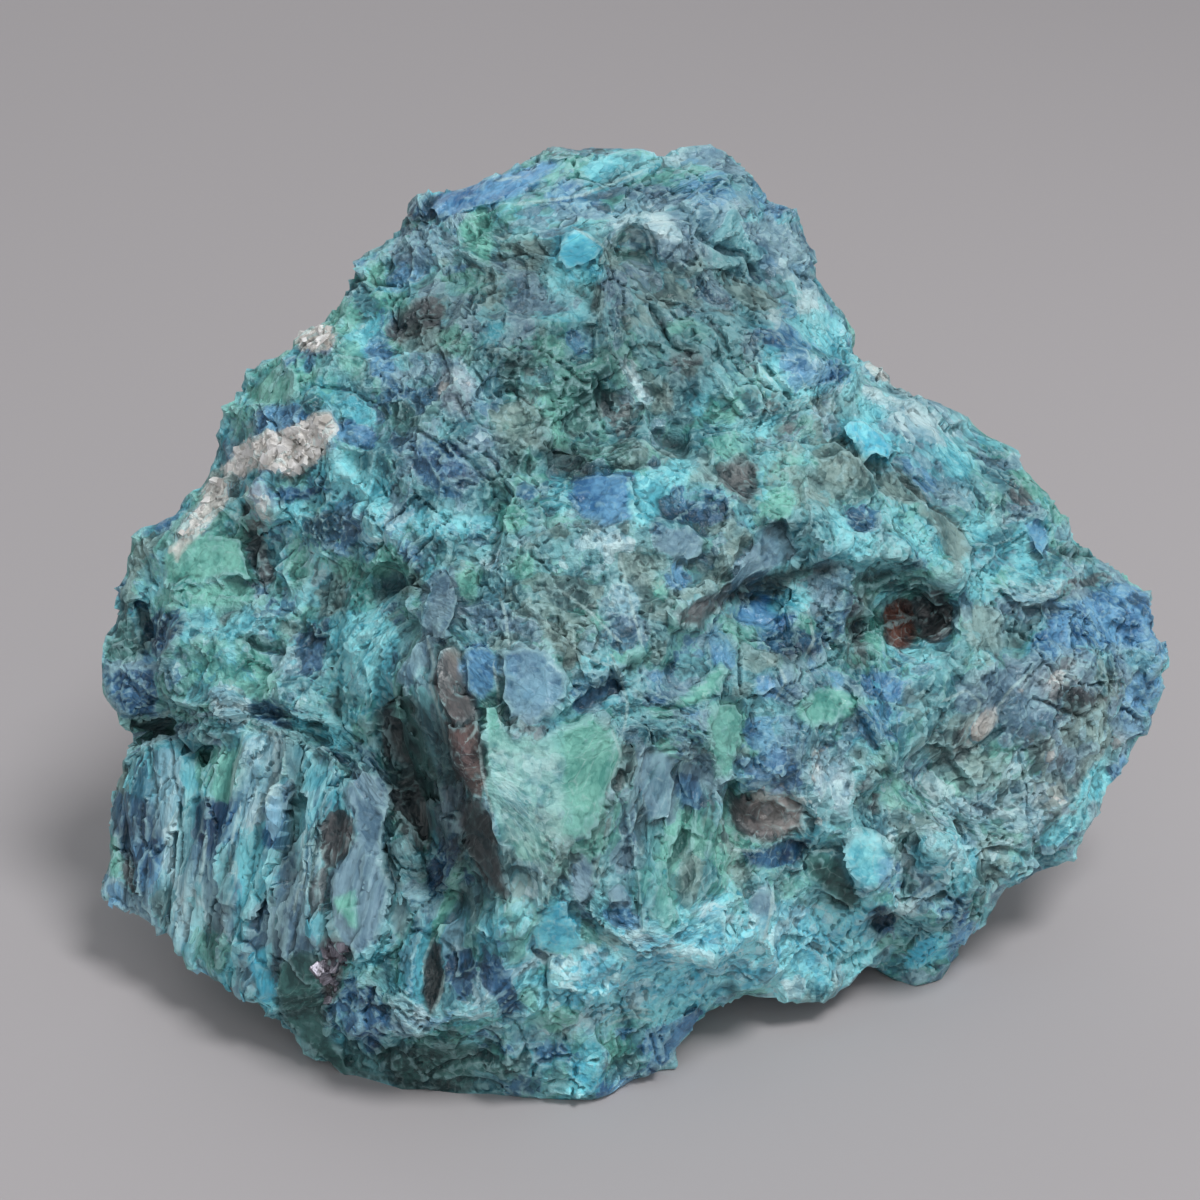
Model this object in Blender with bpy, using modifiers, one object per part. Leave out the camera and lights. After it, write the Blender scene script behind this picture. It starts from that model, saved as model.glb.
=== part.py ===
"""A broken lump of chrysocolla, standing on its own base.

The stone is one solid. Its front is laid out as it is seen from a little above
in front: each named spot has a place across and up in that view, in pixels of a
picture 1200 pixels square, and a distance in mm by which it stands toward the eye.
The back and the underside are laid out in plain mm.
Lengths are in mm until the finished mesh is scaled to metres.
"""

import math

import bpy
import bmesh
import numpy as np
from mathutils import Vector, kdtree, noise
from mathutils.geometry import delaunay_2d_cdt

# View in which the front is laid out
EYE_DISTANCE = 430.0
EYE_TILT = math.radians(25.0)
MM_PER_PIXEL = 0.152
PICTURE_MIDDLE = 600.0
MIDDLE_ABOVE_GROUND = 60.8

MM = 0.001

# Mesh sizes
ROUGH_GRAIN = 1.1
FINE_GRAIN = 0.9
TRIANGLES = 9300
FRONT_SHARE = 1.0
KEEP_LEVELS = 8
FOOT_SINK = 1.3

# Relief
END_FADE = 14.0
WOBBLE_SIZE = 9.0
WOBBLE = 9.0
SCOOPS_TRIED = 5
RIM_FADE = 36.0
RIM_LEAST = 0.2
UNDERSIDE_LEAST = 0.3
FACING_GAIN = 2.5
BEYOND_THE_RIM = 0.3
GROOVE_FLOOR = 0.2
MOUND_STEEPNESS = 0.6
HOLLOW_BESIDE_RIB = 1.2
HOLLOW_WIDTH = 0.5
HOLLOW_DEPTH = 0.35
SCOOP_LIFT = 0.5
SCOOP_LIMIT = 1.2
NOISE_SHIFT = (7.3, 3.1, 5.7)
FAR_AWAY = 1e9
SAME_SPOT = 1e-4

# Wide parts of the front with a grain of their own: middle and half sizes in pixels, and how softly they end
FLUTED_AREA = (240, 870, 190, 160)
STREAKED_AREA = (760, 330, 330, 210)
AREA_FADE = 1.4

NO_GRAIN = (0.0, 0.0, 1.0)
FLUTE_GRAIN = (-0.29, -0.45, -0.9)
STREAK_GRAIN = (0.75, 0.3, 0.55)

# Broken facets: where, their size and depth in mm, how far they lean, and the direction
# and amount in which they are drawn out
SCOOPS = [
    ("plain", 18.0, 2.5, 0.18, NO_GRAIN, 1.0),
    ("plain", 8.5, 1.6, 0.24, NO_GRAIN, 1.0),
    ("fluted", 8.0, 0.9, 0.15, FLUTE_GRAIN, 4.0),
    ("streaked", 15.0, 2.2, 0.16, NO_GRAIN, 1.0),
    ("streaked", 7.0, 1.5, 0.22, STREAK_GRAIN, 2.2),
    ("behind", 34.0, 4.0, 0.22, NO_GRAIN, 1.0),
    ("behind", 14.0, 1.8, 0.22, NO_GRAIN, 1.0),
]

# Stone's colour
STONE_COLOR = (0.11, 0.27, 0.29, 1.0)
STONE_ROUGHNESS = 0.6


# Outline, clockwise from the upper left: pixel across, pixel down, toward the eye
OUTLINE = {
    "crest": [
        (400, 224, -13), (412, 203, -13), (445, 187, -13), (500, 167, -14), (550, 158, -13),
        (590, 163, -12), (612, 153, -14), (660, 153, -15), (708, 138, -17), (745, 158, -17),
        (775, 192, -17), (805, 224, -18), (823, 252, -18), (822, 278, -18), (840, 308, -19),
    ],
    "right shoulder": [
        (866, 355, -20), (900, 380, -21), (940, 405, -22), (982, 440, -24), (1020, 454, -25),
        (1050, 488, -26), (1080, 520, -27), (1112, 561, -28), (1147, 590, -28),
    ],
    "right end": [
        (1163, 640, -28), (1169, 690, -27), (1156, 725, -26), (1135, 770, -25), (1102, 810, -23),
        (1065, 857, -21), (1030, 893, -19), (1003, 900, -17), (982, 925, -16),
    ],
    "arch between the feet": [
        (870, 968, -8), (845, 976, -6), (820, 999, -3), (760, 1004, 1), (725, 1008, 3), (692, 1038, 7),
    ],
    "left underside": [
        (325, 1068, 9), (310, 1050, 7), (262, 1022, 4), (220, 993, 0), (184, 976, -3), (173, 935, -6),
        (125, 916, -12), (95, 904, -16),
    ],
    "left end": [
        (103, 864, -17), (110, 838, -16), (101, 790, -18), (106, 766, -18), (126, 737, -14),
        (108, 700, -18), (98, 670, -19), (112, 632, -20), (109, 600, -21), (130, 558, -21),
        (160, 520, -21), (195, 490, -21),
    ],
    "left shoulder": [
        (226, 443, -21), (245, 390, -20), (275, 350, -19), (308, 326, -18), (355, 280, -16),
        (395, 236, -14),
    ],
}

# Where the outline stands on the ground: pixel across, pixel down
RIGHT_FOOT_EDGE = [(970, 950), (950, 984), (914, 994), (896, 986)]
FRONT_FOOT_EDGE = [(650, 1078), (600, 1108), (565, 1107), (480, 1101), (410, 1101), (345, 1086)]

# Front of the stone: pixel across, pixel down, toward the eye
FRONT = {
    "crest slab": [
        (440, 226, -5), (520, 206, -3), (598, 176, -8), (420, 222, -9), (470, 200, -8),
    ],
    "upper slope": [
        (470, 244, 1), (560, 232, 3), (585, 262, 5), (640, 216, 1), (662, 236, 2), (722, 205, -5),
        (762, 232, -7), (794, 262, -10), (430, 272, 2), (398, 302, 2), (345, 338, -4), (480, 300, 7),
        (556, 292, 6), (622, 290, 6), (700, 288, 1), (762, 300, -3), (808, 322, -7),
    ],
    "middle slope": [
        (300, 372, -5), (352, 366, 4), (420, 348, 9), (500, 350, 13), (580, 350, 12), (662, 360, 8),
        (740, 356, 4), (800, 372, 1), (852, 402, -3), (278, 420, -6), (335, 412, 6), (392, 424, 12),
        (452, 418, 17), (520, 420, 14), (600, 424, 11), (650, 420, 10), (720, 430, 8), (800, 438, 4),
        (872, 436, -1), (930, 452, -8),
    ],
    "blue step": [
        (545, 450, 16), (600, 456, 17), (662, 444, 13), (546, 474, 19), (592, 477, 20), (650, 472, 19),
        (692, 462, 15), (600, 512, 25), (650, 540, 27), (702, 520, 20), (556, 532, 27),
    ],
    "left slope": [
        (500, 500, 21), (460, 482, 19), (430, 520, 20), (396, 556, 19), (330, 500, 9), (280, 500, -1),
        (300, 545, 3), (258, 540, -6), (210, 560, -8), (172, 560, -13), (240, 600, -7), (292, 592, 3),
        (342, 590, 9), (390, 590, 14), (122, 600, -17), (146, 628, -15), (170, 622, -9), (200, 600, -7),
    ],
    "finger ridge": [
        (680, 616, 29), (702, 598, 28), (730, 560, 25), (746, 530, 21), (782, 520, 17),
        (700, 642, 21), (745, 612, 14), (780, 578, 11), (772, 606, 13),
    ],
    "centre": [
        (480, 580, 30), (540, 592, 31), (600, 602, 30), (655, 602, 28), (700, 572, 23),
        (500, 660, 36), (552, 662, 35), (604, 652, 31), (622, 700, 32), (568, 716, 36),
    ],
    "central edge": [
        (430, 590, 29), (425, 620, 31), (432, 680, 34), (446, 740, 37), (480, 790, 39), (490, 832, 38),
        (506, 900, 34),
    ],
    "foot of the central edge": [
        (398, 640, 20), (394, 700, 20), (400, 760, 19), (420, 820, 20), (446, 880, 23),
    ],
    "pale green face": [
        (494, 762, 39), (565, 737, 37), (602, 721, 36), (621, 760, 35), (612, 792, 35), (590, 832, 35),
        (545, 866, 35), (500, 870, 36),
    ],
    "right of the pale green face": [
        (660, 760, 30), (704, 740, 27), (680, 822, 27), (642, 862, 30), (720, 700, 26), (662, 690, 29),
        (760, 690, 22), (800, 722, 20), (850, 702, 15), (832, 780, 15), (790, 760, 18),
    ],
    "brown hollow": [
        (738, 780, 21), (765, 812, 12), (800, 800, 14), (772, 850, 16), (728, 822, 22),
    ],
    "rust cavity": [
        (838, 566, 13), (900, 560, 9), (946, 582, 3), (950, 642, 0), (900, 618, -3), (866, 630, 2),
        (932, 612, -7), (884, 672, 9), (932, 672, 4), (838, 640, 11),
    ],
    "olive curve": [
        (870, 474, 4), (924, 502, 2), (966, 532, -4), (962, 602, -4), (830, 500, 9),
    ],
    "right slope": [
        (1000, 490, -12), (1050, 542, -17), (1020, 592, -9), (1062, 600, -11), (1102, 622, -16),
        (1004, 556, -9), (900, 742, 8), (950, 702, 2), (1000, 682, -3), (1050, 662, -8),
        (1100, 680, -13), (1142, 662, -20), (900, 800, 6), (960, 782, 0), (1020, 762, -5),
        (1080, 752, -12), (1122, 738, -18), (1000, 842, -5), (1052, 822, -12),
    ],
    "knobs": [
        (868, 862, 11), (940, 856, 4), (906, 872, 2), (950, 900, -1), (898, 908, -1),
    ],
    "right foot": [
        (916, 936, -4), (958, 934, -8), (890, 938, -6), (920, 968, -10),
    ],
    "lower centre": [
        (560, 902, 32), (600, 902, 31), (650, 922, 28), (702, 902, 25), (742, 880, 20), (742, 950, 14),
        (702, 982, 14), (650, 992, 18), (600, 1002, 21), (550, 982, 25), (500, 962, 28),
        (600, 1052, 18), (650, 1042, 14), (560, 1082, 17), (500, 1062, 20), (450, 942, 26),
        (430, 992, 25), (400, 1022, 21), (385, 1062, 17), (460, 1040, 21), (800, 932, 8),
        (850, 930, 2), (780, 980, 4), (838, 958, -1), (820, 880, 10),
    ],
    "fluted face": [
        (350, 742, 14), (300, 742, 10), (250, 750, 4), (200, 752, -3), (150, 752, -9), (120, 782, -14),
        (372, 800, 19), (330, 802, 17), (290, 802, 12), (240, 802, 5), (190, 802, -2), (142, 802, -8),
        (352, 880, 21), (300, 880, 15), (250, 880, 8), (200, 880, 1), (150, 880, -6), (116, 890, -12),
        (372, 950, 22), (320, 952, 17), (270, 950, 10), (220, 950, 4), (192, 958, 0),
        (342, 1022, 15), (300, 1012, 10), (262, 1000, 6),
    ],
    "left middle": [
        (165, 700, -9), (122, 702, -15), (150, 726, -15), (216, 700, 2), (240, 730, 2), (188, 716, -6),
        (268, 640, 0), (300, 652, 5), (340, 642, 10), (380, 662, 17), (340, 702, 11), (378, 722, 17),
    ],
}

# Steps in the front: the line, with the raised side on its left, the height in mm,
# and how far in pixels the step is felt on the raised and on the low side
STEPS = {
    "lower edge of the crest slab": ([(402, 214), (440, 227), (520, 205), (600, 172)], 2.4, 30, 26),
    "lip over the blue face": ([(538, 462), (590, 474), (650, 469), (694, 458)], 2.6, 40, 26),
    "rim of the upper hollow": ([(652, 262), (640, 236), (620, 216), (598, 226)], -2.0, 26, 22),
    "lip over the recess": ([(360, 566), (386, 573), (414, 564)], 2.2, 20, 14),
    "overhang of the rust cavity": ([(800, 566), (842, 556), (900, 560), (940, 580), (952, 604), (952, 642)],
                                    3.2, 26, 22),
    "underside of the finger ridge": ([(690, 624), (712, 602), (738, 566), (752, 536), (784, 526)],
                                      3.0, 20, 26),
    "shadow over the blue pocket": ([(734, 600), (800, 572), (838, 558)], 2.8, 24, 20),
    "edge of the olive curve": ([(962, 604), (968, 534), (926, 500), (870, 470)], 2.2, 30, 26),
    "edge of the pale green face": ([(494, 762), (566, 735), (602, 720), (619, 745), (618, 765), (605, 790),
                                     (590, 836)], -1.8, 30, 16),
    "edge of the blue-grey facet": ([(498, 640), (545, 645), (568, 670), (566, 716)], -1.8, 34, 18),
    "edge of the lower lens": ([(690, 1040), (650, 1030), (600, 1056)], -1.6, 20, 18),
    "shelf of pale quartz": ([(262, 462), (286, 481), (302, 476), (318, 454), (334, 414)], 2.4, 24, 18),
    "turquoise flake": ([(838, 424), (850, 430), (890, 462)], 1.6, 22, 18),
    "top of the dark slope": ([(490, 384), (560, 392), (640, 384), (700, 396)], 1.8, 26, 34),
    "upper right crack": ([(650, 304), (662, 326), (672, 346), (692, 354), (740, 350)], 2.2, 24, 24),
    "left slope crack": ([(360, 470), (345, 520), (352, 560)], 1.8, 24, 22),
    "lower right slope": ([(700, 870), (760, 902), (840, 890), (900, 902)], -2.2, 26, 26),
    "ledge of the grey end": ([(936, 804), (980, 766), (1012, 728), (1020, 690)], -1.8, 30, 26),
    "rim of the pale knob": ([(1000, 586), (1018, 607), (1040, 609), (1060, 592), (1100, 576)], 2.4, 22, 18),
    "right side of the second knob": ([(940, 828), (966, 840), (976, 872), (972, 900)], -2.4, 24, 16),
    "left slope ledge": ([(250, 380), (300, 398), (350, 404), (410, 396)], 2.0, 24, 24),
    "centre ledge": ([(440, 560), (500, 548), (560, 560), (620, 556)], 1.8, 24, 24),
    "lower left lip": ([(240, 1010), (300, 1030), (372, 1036)], 2.0, 24, 24),
}

# Grooves in the front: the line, half the width in pixels, and the depth in mm
GROOVES = {
    "beside the central edge": ([(396, 610), (388, 700), (396, 780), (424, 844), (450, 904)], 16, 3.0),
    "slanting channel": ([(616, 684), (590, 700), (552, 728)], 10, 2.6),
    "left groove": ([(240, 480), (252, 530), (276, 592)], 10, 2.4),
    "crevice above the channel": ([(545, 622), (566, 646), (580, 686)], 9, 2.6),
    "short dash": ([(616, 670), (642, 662)], 6, 2.0),
    "slit on the left": ([(338, 688), (342, 722)], 7, 2.6),
    "slit among the flutes": ([(392, 842), (391, 884)], 6, 2.6),
    "dark lens": ([(434, 938), (430, 992)], 9, 2.2),
    "slate lens": ([(588, 850), (574, 906)], 9, 1.8),
    "groove by the left lobe": ([(146, 598), (144, 658)], 8, 3.0),
    "crack by the right end": ([(1036, 806), (1032, 850)], 8, 2.0),
    "crack in the grey end": ([(968, 786), (962, 832)], 8, 2.0),
    "upper dark crack": ([(700, 230), (722, 244), (744, 250)], 8, 2.2),
    "upper notch": ([(716, 324), (720, 350)], 8, 2.0),
    "crack below the centre": ([(690, 814), (684, 860), (676, 888)], 8, 2.2),
    "line over the blue face": ([(592, 470), (652, 467)], 7, 1.8),
    "notch beside the brown hollow": ([(735, 782), (731, 842)], 8, 2.8),
    "between the knobs": ([(906, 838), (904, 882)], 9, 2.4),
    "slope crease": ([(500, 500), (470, 540), (462, 590)], 10, 1.8),
    "crest crease": ([(610, 180), (640, 260), (690, 330)], 10, 1.8),
    "left crease": ([(300, 350), (330, 400), (350, 460)], 9, 1.8),
    "lower crease": ([(520, 880), (540, 960), (530, 1040)], 9, 2.0),
    "right crease": ([(960, 650), (940, 730), (880, 800)], 10, 2.0),
}

# Knobs and pits in the front: place, half sizes across and down in pixels,
# turn in degrees, and height in mm, which is below zero for a pit
MOUNDS = {
    "turquoise chip": (582, 252, 27, 27, 0, 3.0),
    "hole beneath the chip": (585, 292, 17, 14, 0, -3.6),
    "pale lump": (652, 220, 36, 22, 10, 2.2),
    "upper pit": (660, 318, 9, 15, 0, -3.0),
    "upper hollow": (622, 246, 20, 14, 10, -2.4),
    "pit in the step": (566, 464, 26, 13, 15, -4.0),
    "pit right of the step": (676, 442, 18, 12, 0, -4.0),
    "recess": (390, 589, 30, 13, 0, -4.4),
    "blue dome": (672, 540, 38, 22, 10, 2.0),
    "end of the finger": (690, 612, 14, 10, -20, 2.2),
    "blue pocket": (770, 606, 34, 18, -10, -2.2),
    "dark side of the rust cavity": (857, 636, 9, 34, 0, -3.4),
    "rust hollow": (898, 612, 42, 32, 0, -5.0),
    "rust knob": (898, 622, 15, 17, 0, 2.6),
    "brown hollow": (765, 812, 34, 23, 10, -5.0),
    "pebble": (786, 838, 20, 9, 0, 2.6),
    "first knob": (870, 862, 24, 30, 0, 2.8),
    "second knob": (942, 860, 32, 30, 0, 3.2),
    "notch below the knobs": (882, 920, 15, 14, 0, -4.2),
    "pale blade": (922, 900, 22, 8, 30, 2.4),
    "pale knob": (1034, 602, 28, 14, 10, 1.8),
    "aqua knob": (218, 712, 36, 29, 0, 3.4),
    "hollow under the aqua knob": (200, 748, 20, 14, 0, -4.4),
    "black notch": (150, 728, 28, 9, -5, -5.0),
    "dark lump": (130, 692, 32, 28, 0, 2.2),
    "navy block": (170, 630, 21, 20, 0, 2.0),
    "left lobe": (122, 612, 14, 46, 0, 1.6),
    "sparkling lump": (335, 972, 17, 36, 10, 1.8),
    "underside band": (400, 1072, 76, 26, 5, -3.0),
    "upper left lump": (420, 250, 28, 22, 0, 2.0),
    "shoulder lump": (800, 350, 40, 40, 0, 1.8),
    "end lump": (1080, 680, 60, 40, 0, 2.2),
    "left cream lump": (318, 338, 20, 12, 0, 1.8),
}

# Flutes of the lower left: crest at the top and at the foot in pixels, half width, height in mm
FLUTES = {
    "first": ((124, 760), (116, 900), 13, 1.0),
    "second": ((176, 760), (150, 930), 14, 1.3),
    "third": ((212, 760), (184, 960), 13, 1.5),
    "fourth": ((252, 744), (212, 980), 12, 2.0),
    "fifth": ((292, 738), (240, 960), 11, 2.4),
    "sixth": ((326, 742), (292, 970), 14, 2.2),
    "seventh": ((362, 760), (352, 900), 19, 2.2),
    "eighth": ((380, 880), (362, 1040), 15, 1.8),
    "ninth": ((470, 850), (436, 950), 11, 1.6),
}

# Back and underside: across, back, height above the ground
BACK = {
    "behind the crest": [(-26, 47, 106), (-4, 50, 111), (17, 53, 112), (26, 50, 100), (40, 44, 88)],
    "upper back": [(-50, 38, 80), (-27, 54, 82), (5, 59, 84), (30, 54, 77), (52, 44, 66), (68, 38, 56)],
    "middle back": [(-68, 26, 58), (-55, 42, 56), (-27, 60, 55), (4, 61, 52), (34, 57, 50), (60, 48, 45),
                    (80, 34, 42)],
    "lower back": [(-70, 22, 32), (-56, 40, 30), (-30, 54, 28), (0, 56, 25), (30, 50, 27), (58, 40, 28),
                   (78, 26, 32)],
    "above the back foot": [(-60, 12, 10), (-44, 30, 7), (46, 28, 9), (62, 10, 14)],
    "hollow under the stone": [(-44, -14, 9), (-34, 8, 8), (-14, -6, 7), (-2, 8, 7), (12, -10, 6),
                               (26, 6, 8), (34, -14, 8)],
}

# Flats that the stone stands on: across, back
BACK_FOOT = [(-27, 44), (-10, 48), (10, 47), (22, 38), (12, 26), (-8, 24), (-26, 30)]
FRONT_FOOT = [(-36, -34), (-20, -26), (-2, -26), (6, -34)]
RIGHT_FOOT = [(44, -6), (54, -4), (58, -10)]


def spot(across_px, down_px, toward):
    """Place in mm of a spot in the picture that stands toward the eye by the given distance."""
    shrink = MM_PER_PIXEL * (EYE_DISTANCE - toward) / EYE_DISTANCE
    across = (across_px - PICTURE_MIDDLE) * shrink
    up = (PICTURE_MIDDLE - down_px) * shrink
    back = up * math.sin(EYE_TILT) - toward * math.cos(EYE_TILT)
    height = up * math.cos(EYE_TILT) + toward * math.sin(EYE_TILT) + MIDDLE_ABOVE_GROUND
    return (across, back, height)


def ground_spot(across_px, down_px):
    """The same for a spot that is on the ground, sunk a little so that it can be cut flat."""
    rise = (PICTURE_MIDDLE - down_px) * MM_PER_PIXEL * math.cos(EYE_TILT)
    drop = -MIDDLE_ABOVE_GROUND - FOOT_SINK
    toward = (drop - rise) / (math.sin(EYE_TILT) - rise / EYE_DISTANCE)
    return spot(across_px, down_px, toward)


def seen(points):
    """Pixel across, pixel down and distance toward the eye of each point, as arrays."""
    height = points[:, 2] - MIDDLE_ABOVE_GROUND
    up = points[:, 1] * math.sin(EYE_TILT) + height * math.cos(EYE_TILT)
    toward = height * math.sin(EYE_TILT) - points[:, 1] * math.cos(EYE_TILT)
    grow = EYE_DISTANCE / (EYE_DISTANCE - toward) / MM_PER_PIXEL
    return PICTURE_MIDDLE + points[:, 0] * grow, PICTURE_MIDDLE - up * grow, toward


def outline_spots():
    """The whole outline in order, with the two feet in their places."""
    spots = []
    for name, row in OUTLINE.items():
        spots += [spot(*entry) for entry in row]
        if name == "right end":
            spots += [ground_spot(*entry) for entry in RIGHT_FOOT_EDGE]
        if name == "arch between the feet":
            spots += [ground_spot(*entry) for entry in FRONT_FOOT_EDGE]
    return spots


def rim_in_picture():
    """The closed outline in pixels."""
    spots = np.array(outline_spots())
    across, down, _ = seen(spots)
    line = list(zip(across, down))
    return line + line[:1]


def sheet_faces(rim, inner):
    """Triangles over the rim and the inner spots, as they lie in the picture."""
    places = np.array(rim + inner)
    across, down, _ = seen(places)
    flat = [Vector((a, -d)) for a, d in zip(across, down)]
    edges = [(i, (i + 1) % len(rim)) for i in range(len(rim))]
    result = delaunay_2d_cdt(flat, edges, [list(range(len(rim)))], 1, SAME_SPOT)
    origin = [sources[0] for sources in result[3]]
    return [[origin[i] for i in face] for face in result[2]]


def rough_block():
    """The stone's main planes: a front sheet and a back sheet that share the outline."""
    rim = outline_spots()
    front = [spot(*entry) for row in FRONT.values() for entry in row]
    back = [tuple(map(float, entry)) for row in BACK.values() for entry in row]
    for flat in (BACK_FOOT, FRONT_FOOT, RIGHT_FOOT):
        back += [(x, y, -FOOT_SINK) for x, y in flat]
    front_faces = sheet_faces(rim, front)
    back_faces = sheet_faces(rim, back)
    back_start = len(rim) + len(front)
    faces = [tuple(face) for face in front_faces]
    for face in back_faces:
        moved = [i if i < len(rim) else i - len(rim) + back_start for i in face]
        faces.append(tuple(reversed(moved)))
    mesh = bpy.data.meshes.new("stone")
    mesh.from_pydata(rim + front + back, [], faces)
    mesh.update()
    return mesh


def remesh(stone, grain):
    """Even out the mesh to one closed skin of small faces."""
    modifier = stone.modifiers.new("grain", "REMESH")
    modifier.mode = "VOXEL"
    modifier.voxel_size = grain
    apply_modifiers(stone)


def apply_modifiers(stone):
    """Keep the mesh as the modifiers leave it."""
    graph = bpy.context.evaluated_depsgraph_get()
    mesh = bpy.data.meshes.new_from_object(stone.evaluated_get(graph))
    stone.modifiers.clear()
    old = stone.data
    stone.data = mesh
    bpy.data.meshes.remove(old)


def vertex_array(mesh, field):
    """Positions or normals of a mesh's vertices as an array."""
    values = np.empty(len(mesh.vertices) * 3, dtype=np.float32)
    source = mesh.vertices if field == "co" else mesh.vertex_normals
    source.foreach_get("co" if field == "co" else "vector", values)
    return values.reshape(-1, 3).astype(np.float64)


def line_distance(across, down, line):
    """Distance to a line of several stretches, signed: above zero on its left side."""
    best = np.full(len(across), FAR_AWAY)
    sign = np.ones(len(across))
    beyond = np.zeros(len(across))
    last = len(line) - 2
    for n, (start, end) in enumerate(zip(line, line[1:])):
        run = np.array(end, float) - np.array(start, float)
        length = np.hypot(*run)
        along = ((across - start[0]) * run[0] + (down - start[1]) * run[1]) / length
        side = ((across - start[0]) * run[1] - (down - start[1]) * run[0]) / length
        past = np.maximum(-along, along - length)
        distance = np.hypot(side, np.maximum(past, 0.0))
        nearer = distance < best
        best = np.where(nearer, distance, best)
        sign = np.where(nearer, np.sign(side), sign)
        ends = (n == 0) * np.maximum(-along, 0.0) + (n == last) * np.maximum(along - length, 0.0)
        beyond = np.where(nearer, ends, beyond)
    return best, sign, beyond


def steps(across, down):
    """Height of all the steps: up on the raised side, down on the other, fading away from the line."""
    height = np.zeros(len(across))
    for line, rise, reach_high, reach_low in STEPS.values():
        distance, sign, beyond = line_distance(across, down, line)
        side = sign * math.copysign(1.0, rise)
        reach = np.where(side > 0, reach_high, reach_low)
        fade = np.exp(-distance / reach) * np.exp(-((beyond / END_FADE) ** 2))
        height += side * abs(rise) * fade / 2
    return height


def grooves(across, down):
    """Depth of all the grooves, which run to a sharp bottom."""
    height = np.zeros(len(across))
    for line, half_width, depth in GROOVES.values():
        distance, _, _ = line_distance(across, down, line)
        height -= depth * np.clip(1.0 + GROOVE_FLOOR - distance / half_width, 0.0, 1.0)
    return height


def mounds(across, down):
    """Height of all the knobs and depth of all the pits, each with a steep rim."""
    height = np.zeros(len(across))
    for middle_x, middle_y, half_x, half_y, turn, rise in MOUNDS.values():
        angle = math.radians(turn)
        side = (across - middle_x) * math.cos(angle) + (down - middle_y) * math.sin(angle)
        rest = (down - middle_y) * math.cos(angle) - (across - middle_x) * math.sin(angle)
        inside = np.clip(1.0 - (side / half_x) ** 2 - (rest / half_y) ** 2, 0.0, 1.0)
        height += rise * inside ** MOUND_STEEPNESS
    return height


def flutes(across, down):
    """Sharp ribs with hollows between them, down the lower left of the front."""
    height = np.zeros(len(across))
    for top, foot, half_width, rise in FLUTES.values():
        distance, _, _ = line_distance(across, down, [top, foot])
        near = np.clip(1.0 - distance / half_width, 0.0, 1.0)
        off = (distance - half_width * HOLLOW_BESIDE_RIB) / (half_width * HOLLOW_WIDTH)
        height += rise * (near - HOLLOW_DEPTH * np.exp(-(off ** 2)))
    return height


def wobble(points, size, amount, seed):
    """Three smooth random offsets for every point."""
    shift = Vector(NOISE_SHIFT) * seed
    return amount * np.array([noise.noise_vector(Vector(p) / size + shift) for p in points])


def scoops(points, size, depth, lean, seed, grain, stretch):
    """Broken facets: shallow tilted scoops of about the given size, meeting in sharp crests."""
    direction = np.array(grain) / np.linalg.norm(grain)
    places = points - np.outer(points @ direction, direction) * (1.0 - 1.0 / stretch)
    rng = np.random.default_rng(seed)
    area = len(points) * ROUGH_GRAIN ** 2 / stretch
    count = int(area / size ** 2)
    middles = places[rng.choice(len(points), count, replace=False)]
    tilts = rng.uniform(-lean, lean, (count, 3))
    lifts = rng.uniform(-SCOOP_LIFT, SCOOP_LIFT, count) * depth
    bowl = depth / size ** 2
    tree = kdtree.KDTree(count)
    for n, place in enumerate(middles):
        tree.insert(place, n)
    tree.balance()
    near = np.array([[found[1] for found in tree.find_n(place, SCOOPS_TRIED)] for place in places])
    away = places[:, None, :] - middles[near]
    height = lifts[near] + (away * tilts[near]).sum(2) + bowl * (away ** 2).sum(2)
    height = height.min(1)
    return np.clip(height - height.mean(), -SCOOP_LIMIT * depth, SCOOP_LIMIT * depth)


def area_share(across, down, area):
    """How far each spot lies in a wide part of the front: 1 inside, fading to 0 outside."""
    middle_x, middle_y, half_x, half_y = area
    return np.clip(AREA_FADE - np.hypot((across - middle_x) / half_x, (down - middle_y) / half_y), 0.0, 1.0)


def sculpt(stone):
    """Work the named relief into the front, and broken facets all over."""
    mesh = stone.data
    points = vertex_array(mesh, "co")
    normals = vertex_array(mesh, "normal")
    across, down, _ = seen(points)
    eye = np.array([0.0, -math.cos(EYE_TILT), math.sin(EYE_TILT)]) * EYE_DISTANCE
    eye[2] += MIDDLE_ABOVE_GROUND
    ray = eye - points
    ray /= np.linalg.norm(ray, axis=1)[:, None]
    facing = np.clip((normals * ray).sum(1) * FACING_GAIN, 0.0, 1.0)
    shake = wobble(points, WOBBLE_SIZE, WOBBLE, 1)
    across = across + shake[:, 0]
    down = down + shake[:, 2]
    relief = steps(across, down) + grooves(across, down) + mounds(across, down) + flutes(across, down)
    points_new = points + ray * (relief * facing)[:, None]
    fluted = area_share(across, down, FLUTED_AREA) * facing
    streaked = area_share(across, down, STREAKED_AREA) * facing
    plain = np.clip(1.0 - fluted - streaked, 0.0, 1.0)
    areas = {"plain": plain, "fluted": fluted, "streaked": streaked, "behind": 1.0 - facing}
    broken = np.zeros(len(points))
    for seed, (area, size, depth, lean, grain, stretch) in enumerate(SCOOPS):
        broken += areas[area] * scoops(points, size, depth, lean, seed, grain, stretch)
    edge, _, _ = line_distance(across, down, rim_in_picture())
    broken *= np.clip(edge / RIM_FADE, RIM_LEAST, 1.0)
    broken *= np.clip(1.0 + normals[:, 2], UNDERSIDE_LEAST, 1.0)
    points_new += normals * broken[:, None]
    mesh.vertices.foreach_set("co", points_new.astype(np.float32).ravel())
    mesh.update()


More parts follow.
